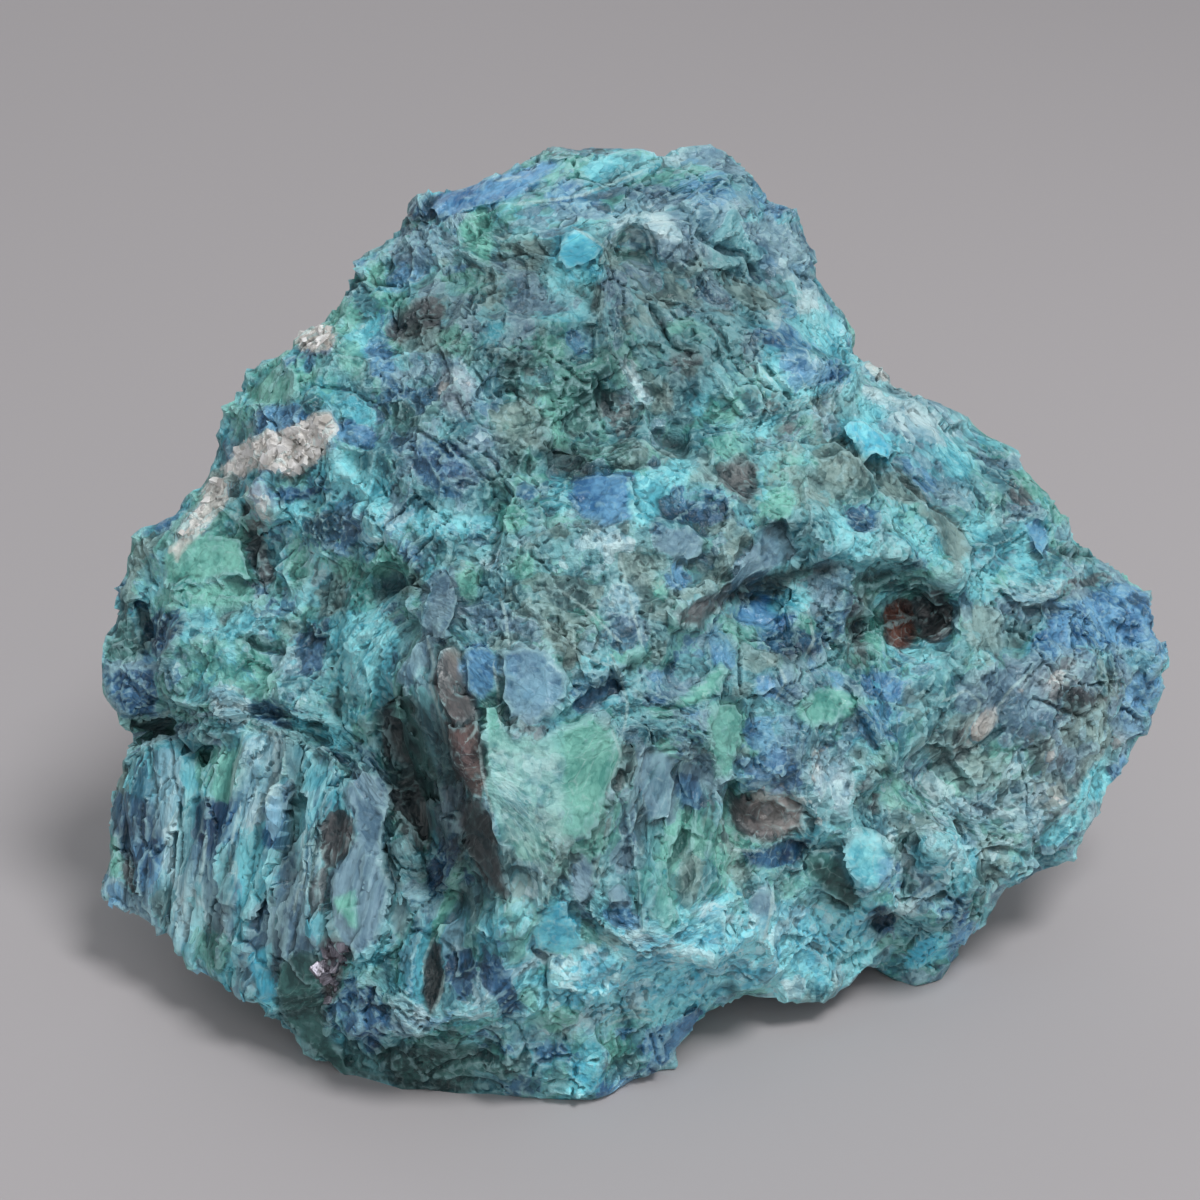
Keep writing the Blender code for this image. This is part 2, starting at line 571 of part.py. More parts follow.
def thin_out(stone):
    """Leave fewer, flatter faces, and more of them in front than behind."""
    mesh = stone.data
    normals = vertex_array(mesh, "normal")
    toward_eye = normals[:, 2] * math.sin(EYE_TILT) - normals[:, 1] * math.cos(EYE_TILT)
    front = np.clip(toward_eye + BEYOND_THE_RIM, 0, 1)
    group = stone.vertex_groups.new(name="keep")
    levels = np.round(front * KEEP_LEVELS).astype(int)
    for level in range(KEEP_LEVELS + 1):
        members = np.nonzero(levels == level)[0].tolist()
        if members:
            group.add(members, (1 + level) / (KEEP_LEVELS + 2), "REPLACE")
    modifier = stone.modifiers.new("thin out", "DECIMATE")
    modifier.ratio = TRIANGLES / triangle_count(mesh)
    modifier.vertex_group = "keep"
    modifier.invert_vertex_group = True
    modifier.vertex_group_factor = FRONT_SHARE
    apply_modifiers(stone)
    stone.vertex_groups.clear()


def triangle_count(mesh):
    return sum(len(face.vertices) - 2 for face in mesh.polygons)


def cut_feet_flat(stone):
    """Cut off what reaches below the ground, which leaves the flats that the stone stands on."""
    bm = bmesh.new()
    bm.from_mesh(stone.data)
    everything = bm.verts[:] + bm.edges[:] + bm.faces[:]
    bmesh.ops.bisect_plane(bm, geom=everything, plane_co=(0, 0, 0), plane_no=(0, 0, -1), clear_outer=True)
    rims = [edge for edge in bm.edges if edge.is_boundary]
    bmesh.ops.triangle_fill(bm, edges=rims, use_beauty=True, normal=(0, 0, -1))
    bmesh.ops.triangulate(bm, faces=bm.faces[:])
    bmesh.ops.recalc_face_normals(bm, faces=bm.faces[:])
    bm.to_mesh(stone.data)
    bm.free()


def shrink_to_metres(stone):
    """Put the middle of the stone's box on the origin, seen from above, and scale mm to metres."""
    points = vertex_array(stone.data, "co")
    middle = (points.min(0) + points.max(0)) / 2
    middle[2] = 0.0
    points = (points - middle) * MM
    stone.data.vertices.foreach_set("co", points.astype(np.float32).ravel())
    stone.data.update()


def paint(stone):
    """One plain blue-green stone finish."""
    material = bpy.data.materials.new("chrysocolla")
    material.use_nodes = True
    shader = material.node_tree.nodes["Principled BSDF"]
    shader.inputs["Base Color"].default_value = STONE_COLOR
    shader.inputs["Roughness"].default_value = STONE_ROUGHNESS
    shader.inputs["Metallic"].default_value = 0.0
    stone.data.materials.append(material)


def main():
    for old in list(bpy.data.objects):
        bpy.data.objects.remove(old, do_unlink=True)
    collection = bpy.data.collections.new("chrysocolla")
    bpy.context.scene.collection.children.link(collection)
    stone = bpy.data.objects.new("stone", rough_block())
    collection.objects.link(stone)
    remesh(stone, ROUGH_GRAIN)
    sculpt(stone)
    remesh(stone, FINE_GRAIN)
    thin_out(stone)
    cut_feet_flat(stone)
    shrink_to_metres(stone)
    paint(stone)


main()
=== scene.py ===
"""A broken lump of chrysocolla: the fracture, the minerals and their finish, on the frame's stone.

The front is laid out as it is seen from the camera: a place there is a pixel across and a
pixel down in a picture 1200 pixels square, and a distance in mm toward the eye.
Lengths are in mm until a mesh is written back in metres.
"""

import itertools
import math

import bpy
import numpy as np
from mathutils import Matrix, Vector


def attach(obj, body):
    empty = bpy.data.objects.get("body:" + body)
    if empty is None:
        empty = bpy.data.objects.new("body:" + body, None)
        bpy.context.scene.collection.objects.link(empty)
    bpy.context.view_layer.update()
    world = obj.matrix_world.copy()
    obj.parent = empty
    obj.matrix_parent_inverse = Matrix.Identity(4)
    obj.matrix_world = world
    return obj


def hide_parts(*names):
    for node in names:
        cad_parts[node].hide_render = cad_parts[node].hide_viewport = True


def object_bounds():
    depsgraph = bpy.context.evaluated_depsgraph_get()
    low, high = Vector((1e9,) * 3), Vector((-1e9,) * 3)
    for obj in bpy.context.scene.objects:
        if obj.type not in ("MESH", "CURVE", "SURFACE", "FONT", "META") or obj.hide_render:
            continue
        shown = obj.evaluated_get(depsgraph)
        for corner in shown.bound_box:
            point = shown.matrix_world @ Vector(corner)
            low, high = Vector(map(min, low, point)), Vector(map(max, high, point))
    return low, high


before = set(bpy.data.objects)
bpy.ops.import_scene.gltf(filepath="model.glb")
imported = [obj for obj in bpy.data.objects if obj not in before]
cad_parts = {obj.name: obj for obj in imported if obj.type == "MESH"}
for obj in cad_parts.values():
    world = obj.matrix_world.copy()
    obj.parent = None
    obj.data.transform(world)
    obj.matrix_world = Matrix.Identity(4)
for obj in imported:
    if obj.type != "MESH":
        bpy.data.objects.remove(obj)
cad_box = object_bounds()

# View in which the front is laid out
EYE_DISTANCE = 430.0
EYE_TILT = math.radians(25.0)
MM_PER_PIXEL = 0.152
PICTURE = 1200.0
MIDDLE_ABOVE_GROUND = 60.8
STONE_MIDDLE = (6.572, 6.766)
SENSOR_MM = 36.0
MM = 0.001
FLOOR_LIGHT = 0.85
PALEST = 0.95

# Noise: how far apart the seeds of its octaves are, its gain, and how far chips are staggered
SEED_STEP = 31
NOISE_GAIN = 1.6
CHIP_STAGGER = 0.6

# Mesh of the stone
GRAIN_OF_SKIN = 0.52
TRIANGLES = 196000
KEEP_LEVELS = 9
KEEP_FROM_BEHIND = 0.35
WELD = 0.00001
SKIN_SMOOTHING = 2
CREASE_ANGLE = math.radians(38.0)

# Minerals in the order in which they lie beside each other
MINERALS = ["rust", "umber", "olive", "forest", "teal", "mint", "aqua", "cyan", "frost", "slate",
            "azure", "navy", "cream"]

# Each mineral's darker and lighter tone, as they look in soft light. The finish moves between them by random
# tone and by painted shading across the chips' faces
TONES = {
    "rust": ((58, 36, 32), (108, 70, 60)),
    "umber": ((48, 52, 56), (104, 104, 106)),
    "olive": ((66, 96, 96), (132, 158, 154)),
    "forest": ((34, 72, 72), (66, 120, 116)),
    "teal": ((48, 106, 120), (110, 174, 182)),
    "mint": ((70, 142, 132), (124, 192, 178)),
    "aqua": ((78, 168, 186), (138, 218, 226)),
    "cyan": ((76, 180, 208), (126, 220, 238)),
    "frost": ((132, 180, 196), (202, 228, 234)),
    "slate": ((80, 114, 136), (128, 162, 178)),
    "azure": ((46, 99, 144), (101, 158, 197)),
    "navy": ((22, 54, 84), (56, 106, 146)),
    "cream": ((166, 162, 156), (232, 229, 224)),
}

# Patches that are flat, smooth breaks: their tilt across and down, and how far they stand out in mm.
# Then their soft edge in pixels, the furthest push in mm and the fewest vertices of a face.
FACES = {
    "finger face": (-0.2, 0.2, 0.5),
    "finger": (0.0, 0.0, 0.9),
    "pool of the pocket": (0.0, 0.0, 0.0),
    "brown face": (0.1, -0.2, 1.8),
    "pale green face": (0.10, -0.10, 0.7),
    "slate facet": (0.05, -0.15, 0.9),
    "blue facet": (0.0, -0.1, 0.5),
    "brown facet": (-0.5, 0.0, 0.4),
    "maroon face": (-0.6, 0.0, 0.3),
    "slate pillar": (0.0, 0.0, 1.2),
    "blue slab": (0.0, 0.0, 0.8),
    "forest face": (-0.3, 0.1, 0.2),
    "mint face left": (0.0, 0.0, 0.4),
    "blue face": (0.1, -0.2, 0.4),
    "slate dome": (0.1, 0.0, 0.5),
    "slate lens": (0.0, 0.0, 0.5),
    "dark channel": (0.0, 0.3, -0.3),
    "cyan flake": (0.2, -0.2, 0.9),
    "mint stripe": (0.1, 0.0, 0.4),
    "slate column": (0.1, 0.0, 0.3),
    "cyan triangle": (0.1, 0.0, 0.5),
    "forest groove": (-0.3, 0.0, -0.3),
    "dark green wedge": (-0.3, 0.2, 0.0),
    "navy band": (0.0, 0.0, 0.0),
    "first knob": (0.0, -0.1, 0.5),
    "black olive face": (-0.5, 0.0, 0.0),
    "mint patch right": (0.0, 0.0, 0.3),
    "mauve smooth": (0.0, 0.0, 0.2),
    "second lens": (0.0, 0.0, 0.2),
    "blue drop right": (0.0, 0.0, 0.3),
    "grey window": (0.0, 0.0, 0.3),
    "slate square": (0.0, 0.0, 0.3),
    "mint wedge": (0.2, -0.2, 0.4),
    "turquoise fold": (0.1, -0.1, 0.4),
    "teal top of the chip": (0.0, -0.2, 1.0),
    "mint shield": (0.0, -0.1, 0.6),
    "blue window": (0.0, 0.0, 0.3),
    "slate ridge": (0.2, 0.0, 0.5),
    "olive curve": (0.2, -0.1, 0.5),
}
FACE_EDGE = 5.0
FACE_LIMIT = 2.5
FEWEST_IN_FACE = 20

# A form on the front is a row of numbers in pixels. Five of them are an ellipse's middle, half sizes
# and turn in degrees. Any other row holds the points of an outline or a line, each across and down.
ELLIPSE_NUMBERS = 5
FAR_AWAY = 1e9

# Mix of minerals over the whole stone, and in wide parts of the front, with teal as the rest
WHOLE_MIX = {"teal": 0.40, "aqua": 0.13, "mint": 0.10, "slate": 0.12, "olive": 0.10, "navy": 0.09,
             "forest": 0.06}
AREAS = {
    "crest": ((600, 200, 200, 50, -8), {"slate": 0.28, "aqua": 0.18, "mint": 0.16, "azure": 0.12,
        "frost": 0.04}),
    "upper right": ((740, 230, 100, 80, 30), {"slate": 0.4, "azure": 0.16, "aqua": 0.14, "frost": 0.06}),
    "upper slope": ((600, 310, 210, 75, 5), {"olive": 0.26, "slate": 0.22, "navy": 0.08, "aqua": 0.1}),
    "green slope": ((600, 400, 150, 70, 0), {"olive": 0.3, "forest": 0.16, "slate": 0.14, "mint": 0.14,
        "umber": 0.04}),
    "right of the green slope": ((770, 430, 110, 90, 10), {"olive": 0.36, "mint": 0.12, "aqua": 0.1,
        "umber": 0.06, "slate": 0.06}),
    "sky patch": ((815, 350, 50, 55, 0), {"aqua": 0.42, "frost": 0.16, "azure": 0.16}),
    "right shoulder": ((920, 430, 90, 55, 35), {"aqua": 0.36, "frost": 0.22, "slate": 0.14}),
    "far right slope": ((1020, 520, 100, 80, 40), {"slate": 0.26, "aqua": 0.3, "mint": 0.14, "frost": 0.06}),
    "right end": ((1110, 640, 75, 70, 20), {"azure": 0.42, "slate": 0.26, "aqua": 0.1}),
    "grey end": ((1050, 740, 110, 90, 0), {"slate": 0.52, "olive": 0.22, "umber": 0.12, "cream": 0.04}),
    "lower right": ((960, 820, 90, 60, -20), {"frost": 0.2, "olive": 0.3, "forest": 0.16, "mint": 0.16,
        "slate": 0.12}),
    "left shoulder": ((320, 330, 110, 70, -35), {"mint": 0.42, "aqua": 0.22, "frost": 0.05, "azure": 0.14,
        "forest": 0.04}),
    "left slope": ((340, 470, 110, 90, -10), {"frost": 0.06, "aqua": 0.28, "navy": 0.1, "azure": 0.16,
        "forest": 0.06, "mint": 0.22}),
    "middle left": ((440, 440, 70, 80, 0), {"slate": 0.26, "navy": 0.22, "frost": 0.05, "forest": 0.08}),
    "left end": ((180, 600, 90, 110, 0), {"mint": 0.36, "olive": 0.12, "aqua": 0.14, "navy": 0.14,
        "azure": 0.06, "frost": 0.05}),
    "flutes": ((230, 860, 150, 130, 0), {"slate": 0.22, "aqua": 0.2, "olive": 0.12, "navy": 0.12,
        "frost": 0.06}),
    "left middle": ((300, 640, 90, 80, 0), {"navy": 0.16, "mint": 0.16, "aqua": 0.3, "frost": 0.07,
        "olive": 0.12, "slate": 0.1}),
    "centre": ((560, 600, 130, 70, 0), {"olive": 0.34, "slate": 0.26, "mint": 0.12, "frost": 0.06}),
    "right centre": ((760, 680, 120, 80, 0), {"slate": 0.22, "mint": 0.16, "azure": 0.12, "olive": 0.1,
        "navy": 0.06}),
    "below the centre": ((650, 820, 90, 100, 0), {"slate": 0.42, "olive": 0.14, "mint": 0.08, "navy": 0.06}),
    "pale green net": ((700, 880, 60, 80, 10), {"mint": 0.44, "olive": 0.18, "aqua": 0.1}),
    "lower centre": ((560, 980, 170, 90, 0), {"aqua": 0.26, "mint": 0.22, "navy": 0.12, "azure": 0.08,
        "olive": 0.06, "frost": 0.05}),
    "lower edge": ((700, 960, 190, 50, -10), {"frost": 0.32, "aqua": 0.36, "cyan": 0.22, "mint": 0.1}),
    "under band": ((400, 1075, 120, 34, 5), {"forest": 0.7, "teal": 0.2}),
    "pink and white": ((810, 780, 50, 45, 0), {"frost": 0.2, "slate": 0.3, "cream": 0.1}),
}

# Single patches of one mineral on the front: the mineral, its share of the patch, and the form.
# Later patches lie over earlier ones.
PATCHES = {
    "blue slab": ("azure", 0.95, 428, 208, 438, 196, 455, 187, 480, 181, 515, 170, 552, 160, 562, 166, 540,
        180, 520, 192, 505, 200, 480, 207, 455, 214, 440, 218),
    "nose of the slab": ("navy", 0.8, 400, 222, 408, 206, 424, 200, 438, 196, 434, 212, 420, 220),
    "green streaks on the crest": ("mint", 0.6, 600, 205, 640, 178, 690, 160, 712, 168, 690, 180, 650, 190,
        610, 214),
    "blue right of the crest": ("azure", 0.55, 706, 194, 30, 12, 0),
    "steel blue shoulder": ("azure", 0.5, 775, 198, 26, 22, 40),
    "lilac bank": ("slate", 0.85, 622, 190, 650, 182, 680, 190, 684, 206, 660, 214, 634, 206),
    "lilac shoulder": ("slate", 0.85, 740, 222, 770, 220, 800, 226, 818, 246, 800, 262, 770, 252, 748, 240),
    "slate lump": ("slate", 0.8, 388, 250, 400, 230, 420, 224, 440, 222, 456, 236, 450, 256, 420, 268, 396,
        266),
    "mint by the crest": ("mint", 0.95, 457, 228, 467, 214, 483, 209, 495, 224, 489, 236, 495, 248, 487, 261,
        474, 256, 461, 243),
    "brown speckle": ("olive", 0.6, 522, 250, 22, 22, 0),
    "mint on the left edge": ("mint", 0.95, 362, 278, 372, 262, 384, 262, 386, 276, 376, 284, 366, 284),
    "mint band": ("mint", 0.8, 368, 294, 384, 290, 404, 294, 410, 306, 396, 314, 378, 308),
    "green bank": ("mint", 0.5, 465, 282, 20, 13, 0),
    "brown band": ("umber", 0.8, 386, 330, 396, 316, 416, 300, 436, 296, 446, 306, 440, 322, 424, 334, 404,
        344, 390, 340),
    "olive under the brown": ("olive", 0.7, 430, 340, 30, 16, 10),
    "mint of the left slope": ("mint", 0.7, 314, 322, 330, 306, 352, 300, 362, 316, 356, 334, 336, 334),
    "white lump": ("cream", 1.0, 296, 340, 304, 330, 318, 326, 334, 330, 337, 342, 328, 352, 312, 352, 300,
        350),
    "smooth green": ("mint", 0.6, 338, 350, 356, 340, 364, 354, 362, 378, 348, 378, 338, 366),
    "violet blue": ("azure", 0.75, 364, 348, 380, 342, 396, 352, 398, 372, 386, 382, 370, 376),
    "mint shield": ("mint", 1.0, 250, 390, 266, 376, 284, 370, 300, 380, 298, 396, 280, 404, 262, 404, 250,
        398),
    "blue bank left": ("azure", 0.8, 254, 412, 272, 406, 296, 406, 308, 416, 296, 428, 278, 434, 258, 432),
    "mint shelf": ("aqua", 0.95, 338, 400, 352, 394, 366, 402, 378, 414, 376, 428, 360, 424, 346, 416),
    "blue below the shelf": ("azure", 0.75, 336, 420, 352, 420, 376, 432, 378, 448, 356, 446, 338, 440),
    "dark green bank": ("forest", 0.7, 384, 404, 402, 400, 420, 412, 420, 430, 400, 438, 386, 424),
    "aqua streaks": ("aqua", 0.85, 316, 464, 330, 452, 352, 458, 356, 474, 340, 482, 322, 476),
    "cream shelf": ("cream", 1.0, 232, 452, 248, 438, 268, 434, 280, 434, 298, 424, 311, 416, 334, 411, 332,
        430, 318, 450, 302, 472, 286, 481, 276, 462, 262, 454, 244, 456),
    "olive left shoulder": ("olive", 0.7, 196, 486, 212, 470, 236, 470, 242, 492, 232, 504, 208, 504),
    "beige pillar": ("cream", 0.5, 245, 488, 262, 482, 272, 500, 272, 524, 256, 524, 246, 508),
    "navy hollow": ("navy", 1.0, 270, 496, 290, 484, 302, 491, 324, 484, 330, 490, 306, 500, 286, 504),
    "aqua right of the hollow": ("aqua", 0.8, 352, 474, 372, 470, 394, 482, 388, 508, 366, 508, 354, 494),
    "aqua below the hollow": ("aqua", 0.95, 278, 508, 296, 502, 312, 506, 310, 524, 298, 532, 284, 524),
    "streaky grey bank": ("slate", 0.6, 438, 366, 462, 362, 476, 380, 474, 420, 452, 426, 436, 404),
    "white of the grey bank": ("cream", 0.35, 440, 372, 462, 366, 472, 384, 468, 416, 450, 414, 438, 392),
    "navy bank": ("navy", 0.75, 410, 446, 430, 438, 456, 446, 466, 470, 460, 498, 436, 496, 416, 478),
    "teal top of the chip": ("teal", 1.0, 558, 246, 564, 233, 576, 228, 594, 238, 607, 248, 600, 260, 588,
        264, 566, 270, 556, 262),
    "bright foot of the chip": ("cyan", 1.0, 558, 266, 566, 256, 578, 262, 592, 264, 585, 275, 577, 284, 566,
        282, 558, 274),
    "grey behind the chip": ("slate", 0.8, 590, 274, 604, 264, 622, 268, 624, 282, 606, 292, 594, 288),
    "white bank": ("frost", 1.0, 644, 218, 656, 210, 668, 220, 686, 236, 684, 245, 674, 243, 664, 232, 648,
        230),
    "dark hollow green": ("forest", 0.95, 612, 250, 626, 244, 640, 249, 648, 257, 632, 262, 616, 258),
    "green by the long crack": ("mint", 0.6, 668, 322, 690, 318, 710, 328, 706, 342, 686, 338, 670, 332),
    "slate bar": ("slate", 0.8, 500, 300, 530, 290, 560, 292, 582, 298, 578, 310, 548, 314, 512, 314),
    "blue by the worm": ("azure", 0.6, 566, 328, 586, 332, 600, 344, 592, 358, 574, 356, 564, 342),
    "mint upper left": ("mint", 0.6, 436, 336, 452, 324, 472, 330, 472, 348, 452, 354, 438, 348),
    "mint middle": ("mint", 0.6, 532, 344, 548, 336, 566, 344, 568, 360, 548, 366, 534, 358),
    "pale blade middle": ("frost", 0.7, 621, 358, 634, 361, 646, 380, 654, 402, 642, 406, 632, 388, 622, 370),
    "tan bank": ("umber", 0.5, 666, 364, 688, 356, 702, 370, 700, 396, 692, 430, 674, 426, 662, 402),
    "dark green slope": ("forest", 0.7, 544, 386, 566, 376, 596, 382, 598, 408, 572, 418, 548, 408),
    "olive bank": ("olive", 0.8, 488, 408, 530, 400, 552, 420, 546, 446, 512, 446, 490, 430),
    "brown bank": ("umber", 0.6, 602, 392, 618, 388, 634, 404, 632, 436, 616, 442, 604, 420),
    "mint right of the tan": ("mint", 0.6, 724, 410, 20, 13, 0),
    "mint low right of the tan": ("mint", 0.6, 700, 440, 730, 430, 752, 440, 746, 456, 716, 462),
    "brown right": ("umber", 0.8, 716, 466, 736, 458, 758, 470, 762, 494, 744, 504, 724, 488),
    "blue face": ("azure", 0.95, 574, 480, 600, 472, 632, 474, 636, 496, 632, 520, 606, 524, 582, 514, 570,
        498),
    "aqua beside the blue face": ("aqua", 0.95, 632, 480, 652, 478, 658, 500, 652, 526, 636, 526, 630, 504),
    "aqua knob": ("aqua", 0.9, 658, 470, 672, 458, 690, 456, 694, 472, 684, 488, 666, 488),
    "navy right of the face": ("navy", 0.7, 656, 500, 680, 486, 700, 480, 722, 492, 736, 516, 716, 526, 684,
        524, 662, 520),
    "mint far right": ("mint", 0.8, 758, 500, 780, 490, 796, 496, 790, 516, 770, 522, 756, 516),
    "sky bank": ("azure", 0.5, 780, 330, 796, 322, 810, 340, 808, 372, 796, 390, 780, 376),
    "bright sky": ("aqua", 0.8, 788, 318, 810, 310, 838, 314, 842, 336, 824, 346, 800, 340),
    "blue under the sky": ("azure", 0.6, 818, 372, 32, 12, 10),
    "cream rim": ("cream", 0.6, 866, 362, 884, 364, 904, 380, 918, 394, 906, 396, 888, 384, 870, 374),
    "frost slope": ("frost", 0.5, 878, 404, 904, 400, 936, 414, 956, 436, 944, 448, 912, 440, 884, 424),
    "cyan flake": ("cyan", 1.0, 840, 427, 848, 418, 868, 420, 878, 433, 895, 449, 890, 461, 878, 459, 860,
        447, 843, 435),
    "teal under the flake": ("azure", 0.6, 894, 458, 912, 460, 930, 472, 940, 490, 930, 496, 914, 484, 900,
        470),
    "olive dome": ("olive", 0.9, 812, 452, 834, 440, 854, 446, 870, 466, 872, 488, 850, 492, 824, 484),
    "light olive": ("olive", 0.85, 874, 480, 896, 470, 920, 484, 930, 500, 908, 508, 884, 500),
    "olive curve": ("olive", 0.9, 916, 510, 940, 508, 960, 524, 970, 548, 964, 580, 952, 570, 942, 540),
    "aqua under the curve": ("aqua", 0.5, 884, 510, 912, 506, 936, 530, 944, 556, 920, 562, 896, 546),
    "navy right middle": ("navy", 0.8, 846, 508, 862, 500, 878, 508, 876, 528, 860, 534, 848, 524),
    "brown far right": ("umber", 0.7, 1004, 482, 1020, 474, 1036, 490, 1038, 508, 1020, 510, 1008, 498),
    "mint right edge": ("mint", 0.8, 1010, 470, 1026, 466, 1058, 494, 1098, 540, 1090, 546, 1058, 518, 1030,
        494),
    "blue window": ("azure", 0.85, 1025, 522, 1040, 515, 1051, 535, 1047, 557, 1033, 552),
    "aqua window": ("aqua", 1.0, 1018, 545, 1030, 550, 1038, 570, 1030, 582, 1019, 572),
    "green bank right": ("forest", 0.6, 1075, 551, 22, 11, 15),
    "pale knob": ("frost", 0.5, 1000, 582, 1014, 584, 1030, 589, 1050, 584, 1062, 590, 1048, 605, 1030, 609,
        1012, 601),
    "brown crack right": ("umber", 0.7, 1056, 592, 1076, 578, 1110, 572, 1112, 580, 1084, 588, 1064, 600),
    "blue end": ("azure", 0.85, 1048, 618, 1070, 606, 1100, 588, 1130, 582, 1150, 604, 1156, 636, 1130, 650,
        1090, 646, 1056, 640),
    "blue right rim": ("azure", 0.7, 1122, 690, 1150, 668, 1166, 694, 1158, 724, 1136, 742, 1120, 726),
    "aqua left of the knob": ("aqua", 0.6, 962, 560, 984, 552, 996, 572, 992, 598, 970, 598, 960, 580),
    "olive right middle": ("olive", 0.7, 956, 606, 980, 600, 1004, 616, 1002, 644, 976, 650, 958, 632),
    "rust heart": ("rust", 1.0, 886, 606, 896, 598, 912, 600, 918, 616, 914, 640, 902, 650, 890, 644, 884,
        624),
    "mint by the rust": ("mint", 0.6, 864, 618, 876, 612, 886, 624, 886, 650, 876, 660, 866, 650),
    "umber by the rust": ("umber", 0.95, 918, 606, 934, 600, 950, 606, 952, 634, 938, 642, 920, 636),
    "green over the rust": ("forest", 0.7, 846, 580, 870, 572, 900, 570, 926, 584, 920, 594, 890, 592, 860,
        596),
    "umber left of the rust": ("umber", 0.5, 848, 600, 860, 596, 866, 630, 870, 668, 856, 668, 848, 636),
    "blue pocket": ("azure", 1.0, 740, 608, 756, 598, 784, 594, 800, 604, 798, 622, 774, 630, 748, 624),
    "navy below the pocket": ("navy", 0.8, 758, 632, 790, 626, 826, 634, 824, 650, 796, 656, 766, 648),
    "slate over the pocket": ("slate", 0.8, 786, 588, 812, 580, 838, 590, 840, 604, 814, 610, 794, 602),
    "slate dome": ("slate", 0.95, 654, 546, 668, 530, 688, 527, 705, 540, 703, 559, 688, 563, 670, 557),
    "olive light bank": ("olive", 0.6, 706, 560, 722, 544, 744, 534, 752, 540, 738, 556, 716, 570),
    "blue triangle": ("azure", 0.8, 664, 576, 674, 560, 690, 580, 682, 590, 668, 588),
    "frost below the face": ("frost", 0.7, 596, 530, 612, 522, 634, 540, 630, 554, 612, 552, 598, 544),
    "finger": ("umber", 0.9, 674, 612, 690, 606, 716, 594, 740, 566, 756, 540, 764, 548, 752, 580, 726, 606,
        700, 624, 680, 626),
    "slate behind the finger": ("slate", 0.9, 733, 562, 748, 546, 766, 548, 774, 566, 760, 584, 738, 590),
    "aqua on the ridge": ("aqua", 0.8, 410, 524, 428, 508, 450, 506, 456, 524, 440, 540, 420, 540),
    "mint on the ridge": ("mint", 0.8, 496, 520, 508, 508, 526, 510, 528, 524, 512, 532, 498, 530),
    "mint leaf on the ridge": ("mint", 0.85, 452, 578, 466, 562, 481, 572, 478, 596, 462, 592),
    "olive field": ("olive", 0.6, 500, 590, 540, 572, 590, 580, 602, 610, 580, 634, 540, 616, 510, 616),
    "olive hollow": ("olive", 0.95, 538, 618, 560, 620, 576, 640, 582, 660, 568, 666, 552, 642),
    "navy slate bank": ("navy", 0.5, 602, 622, 620, 610, 638, 624, 640, 648, 622, 654, 606, 642),
    "slate ridge": ("slate", 0.9, 422, 596, 434, 572, 452, 568, 460, 590, 456, 618, 446, 642, 430, 642, 420,
        618),
    "brown facet": ("umber", 0.6, 437, 650, 458, 640, 463, 664, 458, 690, 477, 700, 479, 716, 461, 723, 445,
        717, 433, 700, 435, 670),
    "rose of the brown facet": ("rust", 0.42, 454, 686, 20, 38, -8),
    "blue facet": ("azure", 0.9, 464, 646, 486, 643, 496, 658, 497, 690, 484, 698, 468, 694, 461, 666),
    "slate facet": ("slate", 0.7, 503, 650, 525, 644, 550, 651, 567, 674, 569, 695, 551, 716, 530, 723, 510,
        716, 500, 700, 498, 668),
    "blue of the slate facet": ("azure", 0.35, 503, 654, 525, 648, 548, 656, 564, 678, 562, 696, 544, 712,
        516, 710, 502, 690),
    "maroon face": ("rust", 0.8, 442, 722, 462, 724, 478, 716, 482, 750, 488, 780, 480, 800, 462, 790, 448,
        756),
    "pink brown edge": ("umber", 0.5, 503, 712, 528, 722, 546, 726, 538, 744, 514, 740, 502, 726),
    "pale green face": ("mint", 0.76, 481, 702, 498, 700, 502, 724, 513, 741, 540, 739, 566, 722, 590, 715,
        612, 729, 621, 755, 610, 782, 602, 804, 594, 828, 574, 838, 548, 836, 546, 866, 520, 868, 514, 846,
        500, 842, 490, 800, 484, 750),
    "pale veil on the face": ("frost", 0.22, 486, 740, 510, 750, 552, 746, 566, 790, 560, 826, 520, 840, 500,
        836, 490, 790),
    "strong green of the face": ("mint", 1.0, 565, 732, 590, 717, 612, 730, 621, 755, 609, 784, 598, 810, 580,
        816, 568, 800, 564, 768),
    "green drop of the face": ("mint", 1.0, 517, 846, 532, 840, 547, 850, 545, 866, 522, 868),
    "dark channel": ("navy", 0.9, 574, 702, 595, 683, 613, 671, 621, 679, 621, 692, 597, 703, 580, 712),
    "mint wedge": ("mint", 0.95, 668, 700, 690, 692, 705, 680, 722, 661, 729, 672, 716, 690, 700, 703, 684,
        707),
    "slate over the wedge": ("slate", 0.9, 656, 695, 680, 684, 700, 677, 705, 682, 690, 692, 672, 700),
    "mint stripe": ("mint", 0.85, 710, 706, 740, 698, 746, 720, 739, 750, 731, 778, 718, 778, 711, 750, 707,
        725),
    "slate column": ("slate", 0.85, 638, 752, 668, 752, 678, 780, 674, 822, 650, 822, 636, 784),
    "navy column": ("navy", 0.8, 678, 774, 700, 778, 708, 800, 702, 818, 684, 812, 675, 792),
    "brown strip": ("umber", 0.45, 622, 762, 632, 768, 620, 800, 608, 838, 599, 848, 604, 800, 612, 780),
    "blue bank right": ("azure", 0.55, 736, 760, 770, 752, 800, 766, 804, 790, 770, 796, 742, 786),
    "blue drop right": ("azure", 0.9, 755, 677, 770, 671, 777, 688, 767, 699, 757, 693),
    "blue net": ("azure", 0.45, 742, 722, 780, 712, 812, 730, 806, 754, 770, 758, 746, 746),
    "mint patch right": ("mint", 0.9, 799, 702, 812, 690, 836, 689, 858, 697, 863, 704, 850, 717, 830, 725,
        812, 727, 799, 718),
